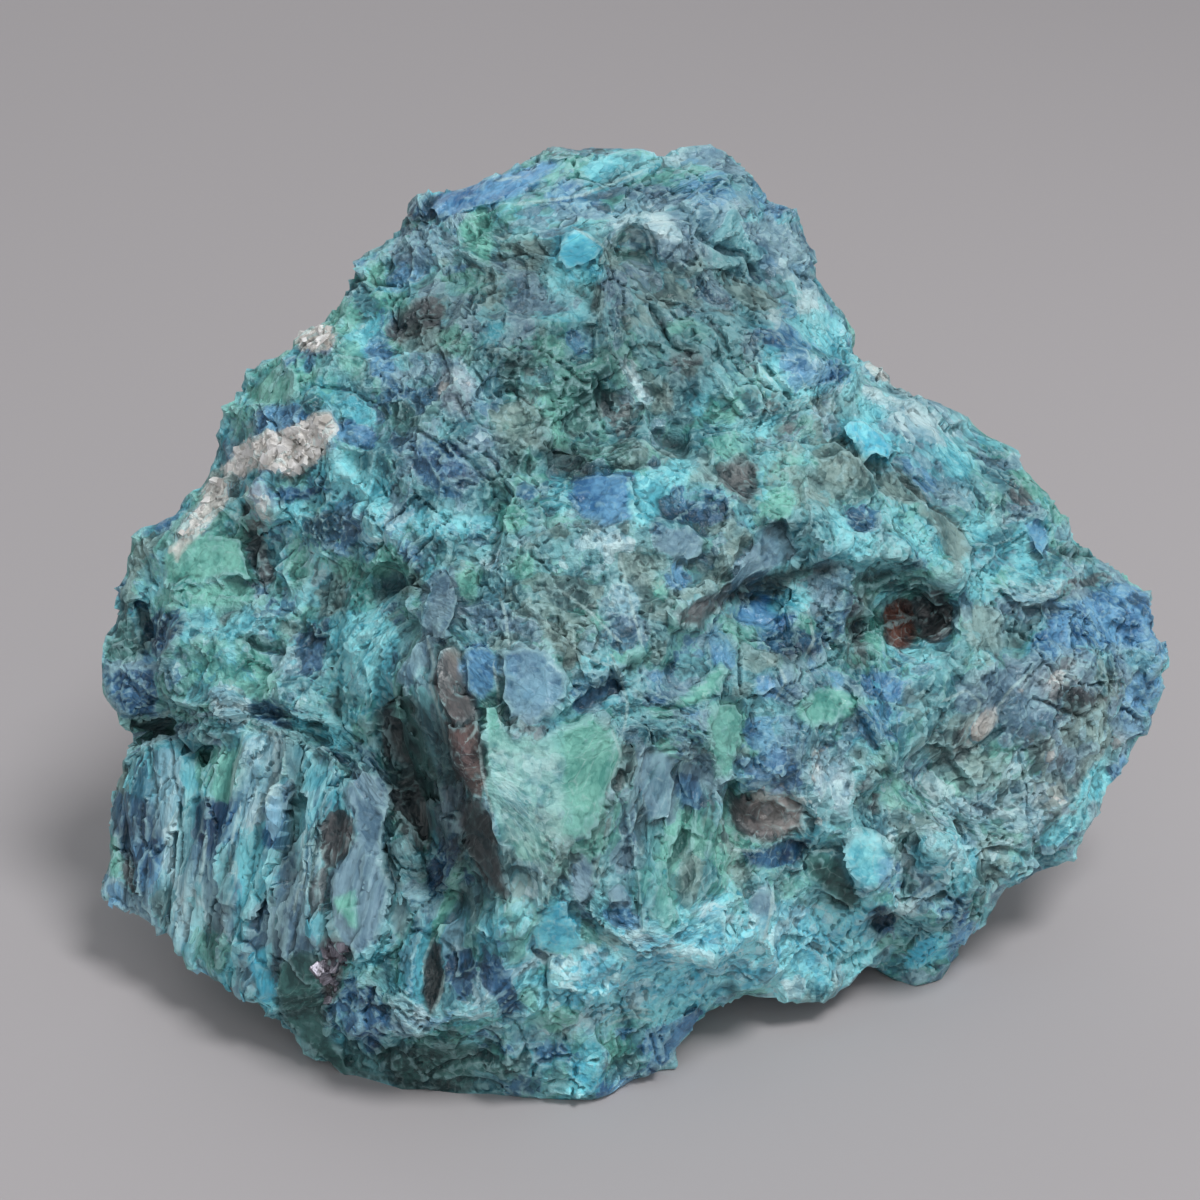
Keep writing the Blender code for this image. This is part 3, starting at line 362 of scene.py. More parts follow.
    "blue above right": ("azure", 0.8, 858, 677, 880, 671, 903, 684, 900, 701, 880, 701, 862, 695),
    "steel blue below": ("azure", 0.5, 858, 708, 880, 704, 902, 712, 898, 740, 874, 746, 856, 730),
    "white and pink": ("frost", 0.4, 800, 760, 820, 752, 842, 758, 844, 780, 822, 790, 804, 780),
    "umber right": ("umber", 0.7, 852, 786, 866, 780, 878, 796, 874, 812, 858, 812),
    "brown cavity": ("umber", 0.95, 731, 800, 745, 794, 765, 800, 790, 794, 804, 802, 802, 828, 785, 838, 760,
        840, 740, 834, 731, 815),
    "navy band": ("navy", 0.95, 744, 854, 770, 846, 800, 838, 810, 846, 792, 863, 768, 870, 748, 866),
    "dark green wedge": ("forest", 0.95, 804, 860, 820, 850, 836, 858, 846, 880, 864, 900, 850, 912, 830, 896,
        810, 880),
    "first knob": ("aqua", 0.85, 841, 852, 852, 836, 870, 831, 887, 842, 891, 862, 880, 882, 864, 889, 847,
        877),
    "blue of the first knob": ("azure", 0.6, 880, 858, 894, 852, 904, 872, 900, 892, 884, 892, 878, 876),
    "second knob": ("aqua", 0.7, 911, 852, 925, 834, 950, 827, 969, 838, 977, 860, 973, 886, 955, 896, 935,
        882, 915, 870),
    "pale blade": ("frost", 0.9, 898, 918, 910, 900, 930, 886, 948, 878, 942, 890, 922, 903, 906, 916),
    "navy notch": ("navy", 0.95, 866, 912, 884, 907, 897, 920, 893, 937, 878, 932, 867, 922),
    "aqua bank low": ("aqua", 0.9, 796, 926, 814, 908, 838, 904, 858, 926, 854, 950, 830, 960, 804, 954),
    "cyan of the bank": ("cyan", 0.9, 801, 928, 812, 914, 828, 918, 830, 940, 816, 948, 803, 942),
    "cyan foot": ("cyan", 0.95, 905, 958, 918, 942, 940, 930, 954, 934, 948, 956, 928, 968, 910, 970),
    "blue foot": ("azure", 0.8, 948, 926, 966, 914, 980, 930, 976, 950, 958, 966, 946, 956),
    "slate foot": ("slate", 0.6, 900, 972, 928, 968, 958, 962, 952, 980, 920, 994, 902, 988),
    "umber of the end": ("umber", 0.6, 1052, 700, 1070, 690, 1096, 686, 1110, 700, 1090, 716, 1064, 716),
    "bright edge": ("aqua", 0.95, 1086, 772, 1104, 761, 1112, 780, 1098, 801, 1080, 812, 1070, 808, 1078,
        790),
    "bright edge low": ("aqua", 0.85, 1040, 838, 1058, 820, 1080, 811, 1088, 822, 1070, 837, 1050, 850),
    "teal edge": ("azure", 0.6, 1108, 766, 1136, 748, 1130, 776, 1110, 796),
    "olive end": ("olive", 0.5, 1085, 728, 26, 26, 0),
    "left strip": ("olive", 0.8, 112, 604, 118, 574, 136, 546, 152, 530, 158, 544, 140, 570, 134, 606, 122,
        616),
    "green left lobe": ("forest", 0.75, 104, 656, 114, 632, 126, 614, 136, 622, 141, 646, 138, 662, 108, 662),
    "mint face left": ("mint", 0.95, 170, 542, 200, 538, 222, 534, 241, 536, 247, 560, 255, 582, 232, 576,
        208, 578, 186, 583, 168, 586, 164, 562),
    "strong mint": ("mint", 1.0, 221, 550, 240, 546, 248, 564, 236, 572, 222, 566),
    "mint band left": ("mint", 0.7, 150, 602, 166, 588, 200, 586, 236, 582, 258, 590, 252, 604, 216, 606, 176,
        610),
    "navy bank left": ("navy", 0.8, 144, 622, 156, 612, 184, 612, 182, 630, 166, 652, 150, 654),
    "frost strip": ("slate", 0.8, 99, 672, 104, 662, 140, 662, 160, 668, 150, 678, 118, 680),
    "navy lump": ("navy", 0.95, 104, 676, 130, 670, 150, 672, 158, 692, 152, 714, 122, 716, 110, 698),
    "dark strip left": ("umber", 0.75, 242, 500, 256, 504, 268, 540, 275, 576, 263, 588, 251, 562, 242, 530),
    "navy mix": ("navy", 0.6, 302, 520, 330, 512, 358, 522, 360, 546, 332, 554, 308, 542),
    "navy lower left": ("navy", 0.6, 264, 588, 282, 580, 300, 592, 298, 612, 278, 618, 264, 606),
    "mint by the recess": ("mint", 0.9, 338, 562, 352, 556, 368, 566, 362, 580, 346, 578),
    "olive left middle": ("olive", 0.6, 312, 590, 334, 580, 350, 594, 346, 616, 326, 618),
    "mint ring": ("mint", 0.8, 366, 566, 376, 548, 390, 544, 400, 556, 414, 566, 414, 576, 392, 576, 374,
        576),
    "aqua bank left": ("aqua", 0.95, 328, 622, 350, 611, 374, 611, 396, 624, 398, 642, 374, 652, 352, 657,
        333, 642),
    "bright aqua left": ("frost", 0.5, 342, 668, 360, 660, 378, 668, 380, 684, 364, 690, 348, 682),
    "aqua under it": ("aqua", 0.8, 362, 674, 20, 14, 10),
    "navy by the aqua": ("navy", 0.95, 380, 648, 392, 642, 398, 656, 396, 676, 384, 678),
    "violet navy": ("navy", 0.8, 295, 640, 310, 624, 326, 638, 328, 666, 313, 682, 299, 674),
    "green bar left": ("forest", 0.85, 240, 638, 258, 632, 284, 642, 288, 652, 266, 652, 246, 648),
    "mint over the knob": ("mint", 0.8, 238, 656, 252, 648, 268, 656, 270, 668, 252, 668, 240, 666),
    "pale knob left": ("frost", 0.85, 207, 692, 222, 683, 239, 689, 250, 706, 251, 720, 236, 730, 223, 721,
        213, 708),
    "navy right of the knob": ("navy", 0.7, 250, 704, 266, 698, 282, 708, 278, 722, 260, 726),
    "teal leaf": ("forest", 0.6, 344, 694, 360, 689, 379, 705, 378, 732, 365, 747, 350, 736, 343, 712),
    "mint of the leaf": ("mint", 0.35, 362, 718, 15, 24, 0),
    "bright streak": ("aqua", 0.85, 324, 716, 338, 706, 350, 724, 352, 746, 338, 752, 326, 738),
    "mint lamina": ("mint", 1.0, 262, 762, 280, 744, 286, 760, 279, 781, 263, 798, 254, 800, 260, 780),
    "aqua under the knob": ("aqua", 0.85, 182, 772, 196, 766, 218, 772, 220, 790, 204, 800, 186, 794),
    "navy in the flutes": ("navy", 0.95, 205, 802, 236, 793, 239, 808, 227, 829, 212, 834, 205, 816),
    "blue in the flutes": ("azure", 1.0, 258, 810, 279, 794, 280, 830, 273, 848, 256, 843, 253, 826),
    "slate in the flutes": ("slate", 0.95, 191, 832, 215, 829, 219, 845, 208, 858, 195, 851),
    "lilac in the flutes": ("slate", 0.6, 116, 812, 140, 800, 162, 808, 164, 840, 140, 846, 120, 836),
    "blue column": ("azure", 0.6, 132, 846, 150, 838, 168, 848, 168, 884, 150, 896, 134, 880),
    "olive left flute": ("olive", 0.8, 102, 796, 108, 772, 126, 768, 128, 790, 114, 804),
    "mint drop left": ("mint", 1.0, 109, 838, 115, 836, 119, 858, 121, 875, 112, 878, 107, 858),
    "blue corner left": ("azure", 0.6, 98, 904, 104, 882, 122, 884, 126, 908, 112, 914),
    "dark flute": ("umber", 0.8, 118, 826, 128, 822, 132, 860, 134, 896, 126, 896, 120, 864),
    "aqua column": ("aqua", 0.85, 238, 846, 252, 838, 274, 850, 276, 880, 262, 904, 244, 906, 238, 880),
    "slate low flute": ("slate", 0.9, 238, 956, 254, 940, 270, 936, 268, 952, 250, 962),
    "cyan triangle": ("cyan", 0.95, 244, 960, 270, 944, 272, 968, 278, 1012, 260, 1010, 258, 976),
    "mint foot of the flutes": ("mint", 0.6, 196, 936, 222, 930, 232, 950, 222, 972, 200, 968),
    "umber by the pillar": ("umber", 0.9, 320, 824, 338, 808, 352, 820, 353, 838, 341, 853, 329, 866, 319,
        852),
    "umber low by the pillar": ("umber", 0.7, 312, 872, 326, 862, 330, 884, 322, 910, 312, 914, 308, 892),
    "slate pillar": ("slate", 1.0, 342, 792, 360, 769, 384, 774, 393, 800, 386, 830, 384, 860, 389, 895, 384,
        930, 368, 956, 340, 947, 330, 912, 326, 882, 345, 852, 355, 836, 352, 810),
    "mint on the pillar": ("mint", 1.0, 333, 898, 353, 891, 355, 910, 357, 930, 346, 925, 338, 911),
    "aqua under the pillar": ("aqua", 0.9, 348, 968, 362, 952, 378, 944, 381, 926, 388, 918, 388, 944, 378,
        962, 360, 974, 348, 980),
    "dark crystal": ("umber", 1.0, 320, 948, 334, 937, 352, 950, 345, 963, 341, 985, 334, 1004, 323, 1001,
        317, 976),
    "forest face": ("forest", 0.95, 275, 966, 300, 950, 318, 956, 318, 1000, 330, 1038, 346, 1060, 352, 1084,
        330, 1074, 308, 1046, 284, 1022, 277, 1000),
    "blue below the pillar": ("azure", 0.7, 334, 1006, 350, 972, 362, 980, 364, 1020, 360, 1042, 342, 1030),
    "navy below the pillar": ("navy", 0.95, 357, 992, 370, 984, 377, 1004, 390, 1014, 386, 1036, 372, 1056,
        361, 1050, 362, 1020),
    "frost bank low": ("frost", 0.5, 388, 1004, 404, 992, 424, 1004, 430, 1024, 420, 1038, 396, 1034),
    "mauve smooth": ("umber", 0.55, 391, 906, 404, 897, 411, 914, 405, 941, 396, 937, 389, 920),
    "forest groove": ("forest", 1.0, 395, 712, 408, 700, 420, 730, 435, 770, 442, 802, 428, 802, 412, 780,
        400, 746),
    "dark groove wall": ("umber", 0.75, 380, 700, 396, 712, 402, 750, 424, 800, 430, 850, 408, 850, 390, 800,
        382, 750),
    "navy in the groove": ("navy", 0.95, 438, 838, 456, 830, 460, 850, 448, 882, 434, 898, 428, 870),
    "black olive face": ("umber", 0.85, 462, 800, 480, 800, 492, 840, 504, 880, 506, 900, 486, 886, 466, 850,
        456, 822),
    "mint blade": ("mint", 1.0, 451, 874, 461, 866, 458, 895, 449, 916, 437, 939, 427, 947, 431, 930, 444,
        900),
    "black lens": ("umber", 1.0, 431, 942, 440, 944, 445, 975, 439, 1001, 428, 1016, 424, 985, 425, 960),
    "navy low": ("navy", 0.9, 446, 956, 470, 948, 478, 974, 472, 1000, 455, 1002, 446, 980),
    "navy low right": ("navy", 0.95, 478, 962, 500, 960, 514, 985, 522, 1010, 506, 1017, 490, 997, 479, 980),
    "white flecks": ("frost", 0.5, 500, 880, 520, 860, 556, 862, 560, 882, 536, 900, 510, 912),
    "slate lens": ("slate", 1.0, 572, 864, 585, 853, 595, 870, 591, 896, 581, 910, 572, 896),
    "slate square": ("slate", 0.9, 608, 890, 626, 886, 630, 904, 612, 908),
    "turquoise fold": ("cyan", 0.8, 534, 926, 548, 904, 565, 902, 578, 924, 582, 945, 566, 956, 545, 951, 536,
        940),
    "olive low": ("olive", 0.5, 594, 936, 612, 928, 624, 950, 620, 980, 600, 978),
    "lilac low": ("slate", 0.8, 634, 940, 650, 934, 660, 950, 650, 964, 636, 958),
    "navy slate low": ("slate", 0.9, 620, 984, 640, 974, 650, 984, 634, 996, 622, 996),
    "aqua low centre": ("aqua", 0.7, 656, 976, 690, 956, 730, 950, 738, 990, 700, 1000, 668, 1006),
    "cyan low": ("cyan", 0.6, 722, 920, 744, 912, 762, 930, 762, 958, 740, 962, 724, 944),
    "grey window": ("slate", 0.9, 751, 892, 768, 885, 774, 905, 769, 937, 759, 934),
    "aqua over the edge": ("aqua", 0.7, 652, 1020, 672, 1000, 692, 1000, 688, 1014, 668, 1024, 656, 1032),
    "first lens": ("navy", 0.9, 639, 1047, 645, 1030, 665, 1023, 667, 1036, 656, 1053, 643, 1058),
    "second lens": ("navy", 0.9, 666, 1044, 682, 1018, 701, 1004, 704, 1022, 688, 1041, 668, 1064, 650, 1082,
        648, 1068),
    "blue of the lenses": ("azure", 0.45, 640, 1047, 660, 1026, 700, 1008, 700, 1024, 668, 1060, 650, 1078),
    "cyan at the foot": ("cyan", 0.95, 567, 1078, 574, 1061, 600, 1059, 602, 1088, 580, 1096, 566, 1091),
    "blue at the foot": ("azure", 0.8, 598, 1086, 616, 1078, 634, 1080, 640, 1088, 620, 1100, 598, 1104),
    "mint fold": ("mint", 0.85, 544, 1012, 560, 999, 577, 1005, 573, 1023, 556, 1031, 543, 1029),
    "bright lamina": ("frost", 0.9, 266, 728, 286, 734, 284, 770, 264, 812, 254, 852, 244, 836, 256, 790, 264,
        760),
    "long lamina": ("aqua", 0.9, 246, 832, 264, 816, 260, 880, 246, 940, 230, 992, 220, 980, 238, 920),
    "mint block": ("mint", 0.8, 196, 752, 238, 746, 248, 780, 226, 802, 200, 792),
    "navy blocks": ("navy", 0.75, 194, 802, 232, 806, 238, 838, 212, 852, 188, 838),
    "pale strip left": ("frost", 0.7, 160, 750, 178, 752, 184, 800, 178, 860, 194, 930, 182, 944, 166, 870,
        156, 800),
    "navy column left": ("navy", 0.6, 112, 790, 150, 800, 162, 850, 150, 884, 118, 852),
    "umber beside the pillar": ("umber", 0.8, 328, 812, 348, 820, 352, 846, 334, 868, 322, 846),
    "pale side of the face": ("frost", 0.18, 492, 735, 545, 728, 566, 760, 562, 830, 530, 900, 502, 890, 496,
        820),
    "grey side of the face": ("olive", 0.4, 500, 800, 556, 812, 580, 850, 548, 905, 506, 896),
    "turquoise body of the chip": ("cyan", 0.95, 553, 244, 574, 228, 606, 250, 598, 262, 606, 276, 588, 286,
        562, 280, 550, 262),
    "white of the crest": ("frost", 0.75, 642, 221, 30, 20, 10),
    "cream wedge": ("cream", 0.95, 222, 470, 244, 446, 284, 430, 334, 414, 338, 430, 318, 462, 288, 476, 256,
        470, 236, 478),
    "cream edge": ("cream", 0.8, 214, 474, 232, 480, 224, 510, 196, 540, 176, 560, 170, 548, 192, 512),
    "deep blue slab": ("azure", 0.9, 436, 204, 470, 190, 540, 168, 548, 174, 520, 188, 480, 202, 446, 212),
    "rust of the cavity": ("rust", 0.95, 886, 606, 908, 601, 916, 620, 914, 642, 902, 654, 890, 646, 883,
        626),
    # The frost veil over the down-facing lower edge: partly its pale minerals, partly painted light that
    # stands for light thrown up from the floor
    "light of the lower edge": ("frost", 0.42, 700, 960, 175, 34, -12),
    "cyan of the lower edge": ("cyan", 0.4, 700, 960, 175, 34, -12),
    "light of the lower right": ("frost", 0.22, 960, 820, 90, 54, -20),
    "light left of the ridge": ("aqua", 0.6, 360, 662, 36, 60, 0),
    "finger face": ("slate", 0.85, 740, 568, 762, 528, 782, 520, 792, 540, 802, 556, 770, 570, 744, 588, 722,
        602),
    "rim over the finger": ("olive", 0.85, 694, 592, 720, 560, 744, 528, 752, 534, 736, 562, 706, 598),
    "pool of the pocket": ("azure", 0.95, 760, 613, 27, 14, -8),
    "light of the pocket": ("aqua", 0.9, 792, 600, 24, 13, -20),
    "mint beside the rust": ("mint", 0.6, 864, 612, 882, 606, 885, 640, 874, 656, 866, 640),
    "umber right of the rust": ("umber", 0.9, 914, 596, 944, 590, 954, 610, 946, 630, 918, 626),
    "brown face": ("rust", 0.25, 736, 800, 760, 794, 798, 798, 804, 826, 780, 838, 750, 832, 738, 820),
    "pale part of the brown face": ("cream", 0.2, 752, 798, 798, 798, 804, 826, 780, 838, 760, 820),
    "bright flake": ("cyan", 0.95, 842, 420, 866, 424, 888, 440, 892, 454, 872, 460, 850, 446, 840, 432),
}

# Painted shade: near-black places in hollows, cracks, undercuts and the band under the stone, on faces turned
# away from the light, and a broad dusk over wide areas, with a few dark mineral spots among them; how dark,
# and the form
SHADES = {
    "undercut of the slab": (0.75, 400, 226, 406, 212, 424, 214, 440, 214, 430, 221, 410, 228),
    "hollow under the chip": (0.8, 550, 277, 566, 285, 580, 284, 594, 292, 602, 302, 594, 312, 582, 300, 566,
        290),
    "dark green pit": (0.6, 628, 254, 16, 6, 10),
    "upper pit": (0.8, 652, 304, 662, 308, 670, 330, 668, 342, 658, 330),
    "pit right of it": (0.6, 723, 342, 6, 10, -10),
    "pit over the blue face": (0.75, 540, 447, 560, 442, 588, 452, 594, 470, 576, 480, 558, 475, 545, 462),
    "second pit over it": (0.75, 656, 439, 670, 433, 688, 440, 694, 450, 685, 458, 670, 451),
    "brown pit": (0.5, 420, 322, 26, 14, -30),
    "pocket far right": (0.65, 760, 524, 776, 518, 790, 526, 784, 538, 766, 538),
    "under the finger": (0.85, 716, 600, 738, 586, 770, 574, 804, 564, 842, 562, 838, 572, 806, 578, 770, 592,
        736, 602),
    "over the rust": (0.3, 842, 562, 880, 558, 916, 566, 942, 586, 954, 620, 946, 628, 932, 596, 900, 580,
        860, 580),
    "left of the rust": (0.35, 846, 590, 862, 596, 868, 640, 872, 668, 856, 670, 848, 630),
    "beside the rust": (0.15, 934, 612, 18, 12, 0),
    "below the pocket": (0.6, 764, 652, 800, 640, 822, 644, 818, 656, 784, 664),
    "olive hollow": (0.55, 560, 640, 572, 650, 580, 664, 572, 676, 562, 664),
    "channel": (0.6, 578, 702, 600, 684, 616, 674, 622, 684, 604, 698, 584, 708),
    "dash": (0.7, 630, 667, 12, 3, -15),
    "recess": (0.45, 360, 574, 380, 582, 404, 585, 416, 570, 424, 586, 410, 597, 384, 592),
    "slit left": (0.85, 332, 692, 340, 686, 344, 700, 340, 716, 334, 712),
    "black notch": (0.65, 124, 718, 150, 716, 176, 728, 180, 742, 150, 740, 128, 738),
    "under the pale knob": (0.5, 166, 730, 184, 732, 204, 746, 208, 758, 194, 762, 178, 746),
    "groove of the lobe": (0.7, 138, 606, 146, 620, 150, 650, 144, 658, 138, 640),
    "groove wall": (0.7, 382, 690, 400, 700, 430, 790, 470, 860, 470, 890, 436, 850, 400, 800, 384, 740),
    "black side of the ridge": (0.72, 430, 700, 446, 730, 470, 790, 486, 820, 500, 870, 504, 900, 480, 880,
        456, 830, 434, 780, 426, 730),
    "olive dark": (0.4, 400, 850, 440, 860, 470, 850, 500, 890, 490, 920, 450, 900, 410, 890),
    "slit right of the pillar": (0.85, 385, 846, 391, 842, 394, 866, 400, 890, 394, 892, 387, 872),
    "black lens": (0.75, 431, 944, 440, 947, 444, 975, 438, 1000, 428, 1014, 425, 980),
    "left of the cavity": (0.5, 730, 786, 740, 792, 744, 820, 738, 842, 731, 836),
    "under the pebble": (0.6, 790, 844, 18, 5, 0),
    "notch below the knobs": (0.7, 882, 922, 13, 12, 0),
    "dark wedge": (0.6, 812, 868, 834, 866, 862, 902, 848, 910, 826, 890),
    "hollow at the edge": (0.8, 724, 984, 732, 978, 740, 990, 736, 998),
    "band under the stone": (0.6, 335, 1075, 360, 1066, 420, 1076, 470, 1082, 500, 1100, 420, 1106, 350,
        1092),
    "top of the band": (0.45, 400, 1042, 440, 1040, 490, 1046, 480, 1062, 430, 1064, 400, 1056),
    "cracks of the end": (0.55, 1066, 704, 1080, 694, 1096, 688, 1100, 700, 1084, 710, 1074, 720),
    "forest seams": (0.35, 300, 1020, 24, 30, 30),
    "under the left foot": (0.5, 250, 1012, 280, 1030, 320, 1052, 310, 1060, 270, 1036),
    "dark flute": (0.55, 118, 828, 128, 824, 134, 896, 126, 898),
    "dusk of the upper right": (0.13, 740, 250, 120, 110, 30),
    "dusk of the shoulder": (0.1, 940, 450, 150, 80, 40),
    "dusk of the upper slope": (0.3, 610, 310, 200, 70, 0),
    "dark of the groove": (0.6, 386, 696, 402, 690, 424, 704, 446, 740, 470, 800, 500, 880, 506, 905, 480,
        900, 450, 850, 425, 800, 402, 750),
    "gap in the flutes": (0.6, 290, 760, 304, 764, 300, 840, 288, 920, 276, 980, 266, 976, 280, 900, 286,
        830),
    "second gap": (0.55, 226, 852, 240, 846, 232, 900, 214, 960, 204, 956, 220, 900),
    "dusk of the right centre": (0.07, 760, 680, 120, 80, 0),
    "dusk below the centre": (0.08, 650, 820, 90, 100, 0),
    "dusk of the far right": (0.08, 1020, 540, 90, 70, 40),
    "dusk of the band": (0.3, 400, 1080, 120, 22, 5),
    "crease over the pocket": (0.5, 896, 456, 914, 480, 932, 498, 928, 506, 908, 486, 894, 466),
}

# Narrow creases in the front: half the width in pixels, the depth in mm, and the line
CREASES = {
    "under the slab": (3, 0.5, 404, 222, 436, 219, 470, 211, 520, 200),
    "over the left slope": (3, 0.8, 362, 284, 380, 286, 404, 284),
    "left slope": (2.5, 0.6, 352, 292, 366, 290, 372, 296),
    "under the mint shield": (3, 0.8, 300, 396, 322, 390, 346, 388, 370, 398),
    "left of the cream": (3, 0.8, 300, 472, 290, 484, 278, 480),
    "ridge seam": (3, 0.8, 420, 432, 440, 444, 452, 456),
    "long seam": (3, 0.6, 456, 400, 470, 420, 500, 430),
    "upper right crack": (3.5, 1.0, 700, 232, 714, 246, 744, 254, 762, 274),
    "crack at the shoulder": (3, 0.8, 796, 262, 806, 276, 820, 282),
    "long crack": (4, 1.2, 654, 306, 664, 326, 668, 342, 690, 354),
    "crack right of it": (3.5, 1.0, 706, 320, 722, 336, 728, 352),
    "seam right": (3, 0.8, 766, 366, 778, 384, 792, 398),
    "olive seam": (3, 0.8, 640, 404, 650, 420, 664, 434),
    "dark seam": (3, 0.8, 486, 452, 498, 466, 512, 478),
    "seam under the slope": (3, 0.9, 600, 466, 630, 463, 656, 460),
    "curve over the olive": (3.5, 1.0, 806, 436, 828, 438, 846, 433, 868, 454, 876, 480),
    "great curve": (3.5, 1.1, 894, 456, 911, 478, 927, 493, 934, 504, 954, 516, 966, 532, 974, 548, 970, 580),
    "green seam": (3, 0.8, 1050, 546, 1072, 556, 1096, 552),
    "rim of the pale knob": (3.5, 1.0, 1000, 592, 1014, 606, 1030, 614, 1050, 610, 1064, 598),
    "end seam": (3, 0.8, 1040, 700, 1060, 708, 1078, 716, 1096, 706),
    "seam of the grey end": (3, 0.8, 940, 772, 960, 760, 984, 744, 1004, 728),
    "seam under the end": (3.5, 1.0, 952, 800, 966, 812, 964, 832),
    "crack of the end": (3.5, 1.1, 1030, 806, 1036, 826, 1030, 850),
    "seam below the end": (3.5, 1.0, 984, 856, 1010, 852, 1044, 852, 1060, 846),
    "knob seam": (3, 0.9, 904, 836, 908, 860, 900, 890),
    "second knob seam": (3.5, 1.1, 976, 852, 980, 876, 974, 896),
    "blade seam": (3, 0.9, 904, 920, 920, 908, 944, 898),
    "bank seam": (3.5, 1.0, 844, 960, 866, 952, 884, 946),
    "edge seam": (3.5, 1.0, 700, 972, 716, 980, 736, 980),
    "net crack": (3.5, 1.2, 690, 814, 686, 840, 680, 862, 676, 886),
    "net crack two": (3, 0.8, 722, 836, 716, 852, 724, 800),
    "dark right of the green": (4, 1.3, 735, 784, 733, 812, 734, 840),
    "wedge edge": (3, 0.7, 664, 708, 690, 706, 712, 696),
    "frost stroke edge": (3, 0.7, 652, 752, 676, 750, 696, 748),
    "channel top": (3.5, 1.0, 578, 690, 574, 676, 566, 662),
    "ridge crease": (4, 1.0, 396, 690, 398, 740, 412, 790, 430, 830, 446, 880),
    "edge of the black": (3, 0.8, 484, 810, 492, 850, 504, 900),
    "pillar right": (3, 1.0, 394, 800, 388, 830, 386, 850),
    "pillar left": (3, 0.8, 352, 812, 354, 838, 342, 856, 326, 880, 324, 930),
    "crystal side": (3, 0.9, 318, 944, 316, 976, 322, 1004),
    "face side": (3.5, 1.0, 332, 1004, 334, 1028, 350, 1060, 372, 1070),
    "band top": (4, 1.2, 376, 1062, 410, 1046, 450, 1040, 500, 1048),
    "band middle": (3.5, 0.9, 420, 1082, 460, 1080, 500, 1086),
    "lens seam": (3, 0.8, 610, 1050, 636, 1042, 650, 1030),
    "fold seam": (3, 0.7, 560, 1036, 590, 1020, 620, 1012),
    "fold": (3.5, 1.0, 534, 950, 546, 960, 548, 990, 544, 1010),
    "fold top": (3, 0.8, 536, 924, 550, 934, 548, 948),
    "left edge notch": (4, 1.4, 118, 720, 140, 728, 172, 734),
    "under the knob": (4, 1.3, 180, 736, 196, 750, 208, 760),
    "lobe": (4, 1.3, 140, 606, 146, 630, 148, 654),
    "lobe top": (3, 0.9, 148, 546, 146, 570, 154, 586),
    "strip right": (3, 0.9, 244, 504, 252, 556, 262, 588),
    "bar over the knob": (3.5, 1.0, 238, 636, 262, 646, 286, 652),
    "between knob and flutes": (3.5, 1.0, 276, 724, 300, 730, 318, 724),
    "leaf edge": (3, 1.0, 338, 712, 348, 730, 360, 740),
    "recess": (5, 0.7, 362, 576, 384, 586, 410, 588, 420, 574),
    "behind the recess": (3, 0.8, 350, 546, 364, 548, 378, 540),
    "middle left": (3, 0.9, 362, 648, 376, 644, 388, 634),
    "first flute": (2.5, 0.9, 160, 752, 154, 800, 150, 850, 146, 910),
    "second flute": (2.5, 0.9, 182, 790, 176, 850, 170, 920),
    "third flute": (2.5, 0.9, 204, 836, 196, 880, 186, 940),
    "fourth flute": (2.5, 0.9, 246, 770, 236, 830, 222, 900, 212, 960),
    "fifth flute": (2.5, 0.9, 286, 780, 284, 850, 272, 930),
    "sixth flute": (2.5, 0.9, 306, 740, 300, 800, 296, 880, 290, 950),
    "seventh flute": (2.5, 0.9, 320, 790, 316, 860, 308, 930),
}

# Narrow pale lines: veins, and painted highlights along rims and edges, with one painted glint
PALE_LINES = {
    "on the slab": (500, 180, 520, 177),
    "rim of the chip": (575, 228, 590, 237, 607, 249, 601, 259),
    "seam under the crest": (520, 204, 580, 196, 640, 172),
    "olive rim": (541, 618, 562, 632, 576, 648, 598, 662, 612, 666),
    "vein of the centre": (500, 598, 506, 616, 508, 642),
    "vein over the facet": (494, 668, 498, 690, 500, 722),
    "vein right": (620, 556, 630, 600, 641, 642),
    "vein to the face": (612, 656, 620, 676, 628, 704, 624, 730),
    "vein across": (560, 590, 590, 612, 618, 640),
    "face rim": (612, 730, 621, 755, 612, 780),
    "ridge rim": (432, 690, 440, 714, 446, 742),
    "ridge cream": (428, 642, 434, 664, 430, 688),
    "ridge edge": (480, 748, 482, 770, 486, 790, 492, 812),
    "cream bits of the ridge": (470, 738, 476, 730, 476, 718),
    "blade rim": (898, 918, 912, 900, 934, 884),
    "lens left": (434, 938, 424, 960, 424, 978),
    "lens right": (444, 976, 440, 996, 430, 1016),
    "second flute": (206, 836, 204, 860, 200, 880),
    "third flute": (240, 808, 232, 840, 230, 870),
    "fourth flute": (236, 862, 236, 880, 228, 900),
    "lamina": (284, 748, 284, 770, 262, 800, 250, 830),
    "lamina left": (238, 756, 234, 772, 232, 788),
    "fifth flute": (304, 846, 300, 880, 294, 910),
    "light right": (316, 850, 312, 872, 308, 890),
    "frost line right": (735, 850, 760, 851),
    "line far right": (818, 851, 830, 851),
    "window line": (773, 894, 770, 916, 764, 940),
    "arc right": (764, 656, 780, 668, 786, 682, 778, 696),
    "sky line": (808, 610, 814, 640, 808, 652),
    "diagonal of the end": (946, 700, 966, 690, 980, 702, 976, 720),
    "diagonal two": (1000, 704, 1012, 688, 1026, 676),
    "chevron": (604, 1016, 624, 1006, 646, 1010),
    "chevron two": (610, 1024, 632, 1016, 650, 1020),
    "edge of the lens": (664, 1066, 690, 1044, 706, 1022),
    "white glint": (326, 848, 318, 862),
}


def tone(red, green, blue):
    """Colour of a surface that shows as the given bytes, by the screen's curve, in the scene's soft light."""
    def light(byte):
        share = byte / 255.0
        return share / 12.92 if share <= 0.04045 else ((share + 0.055) / 1.055) ** 2.4
    return tuple(min(light(byte) / FLOOR_LIGHT, PALEST) for byte in (red, green, blue)) + (1.0,)


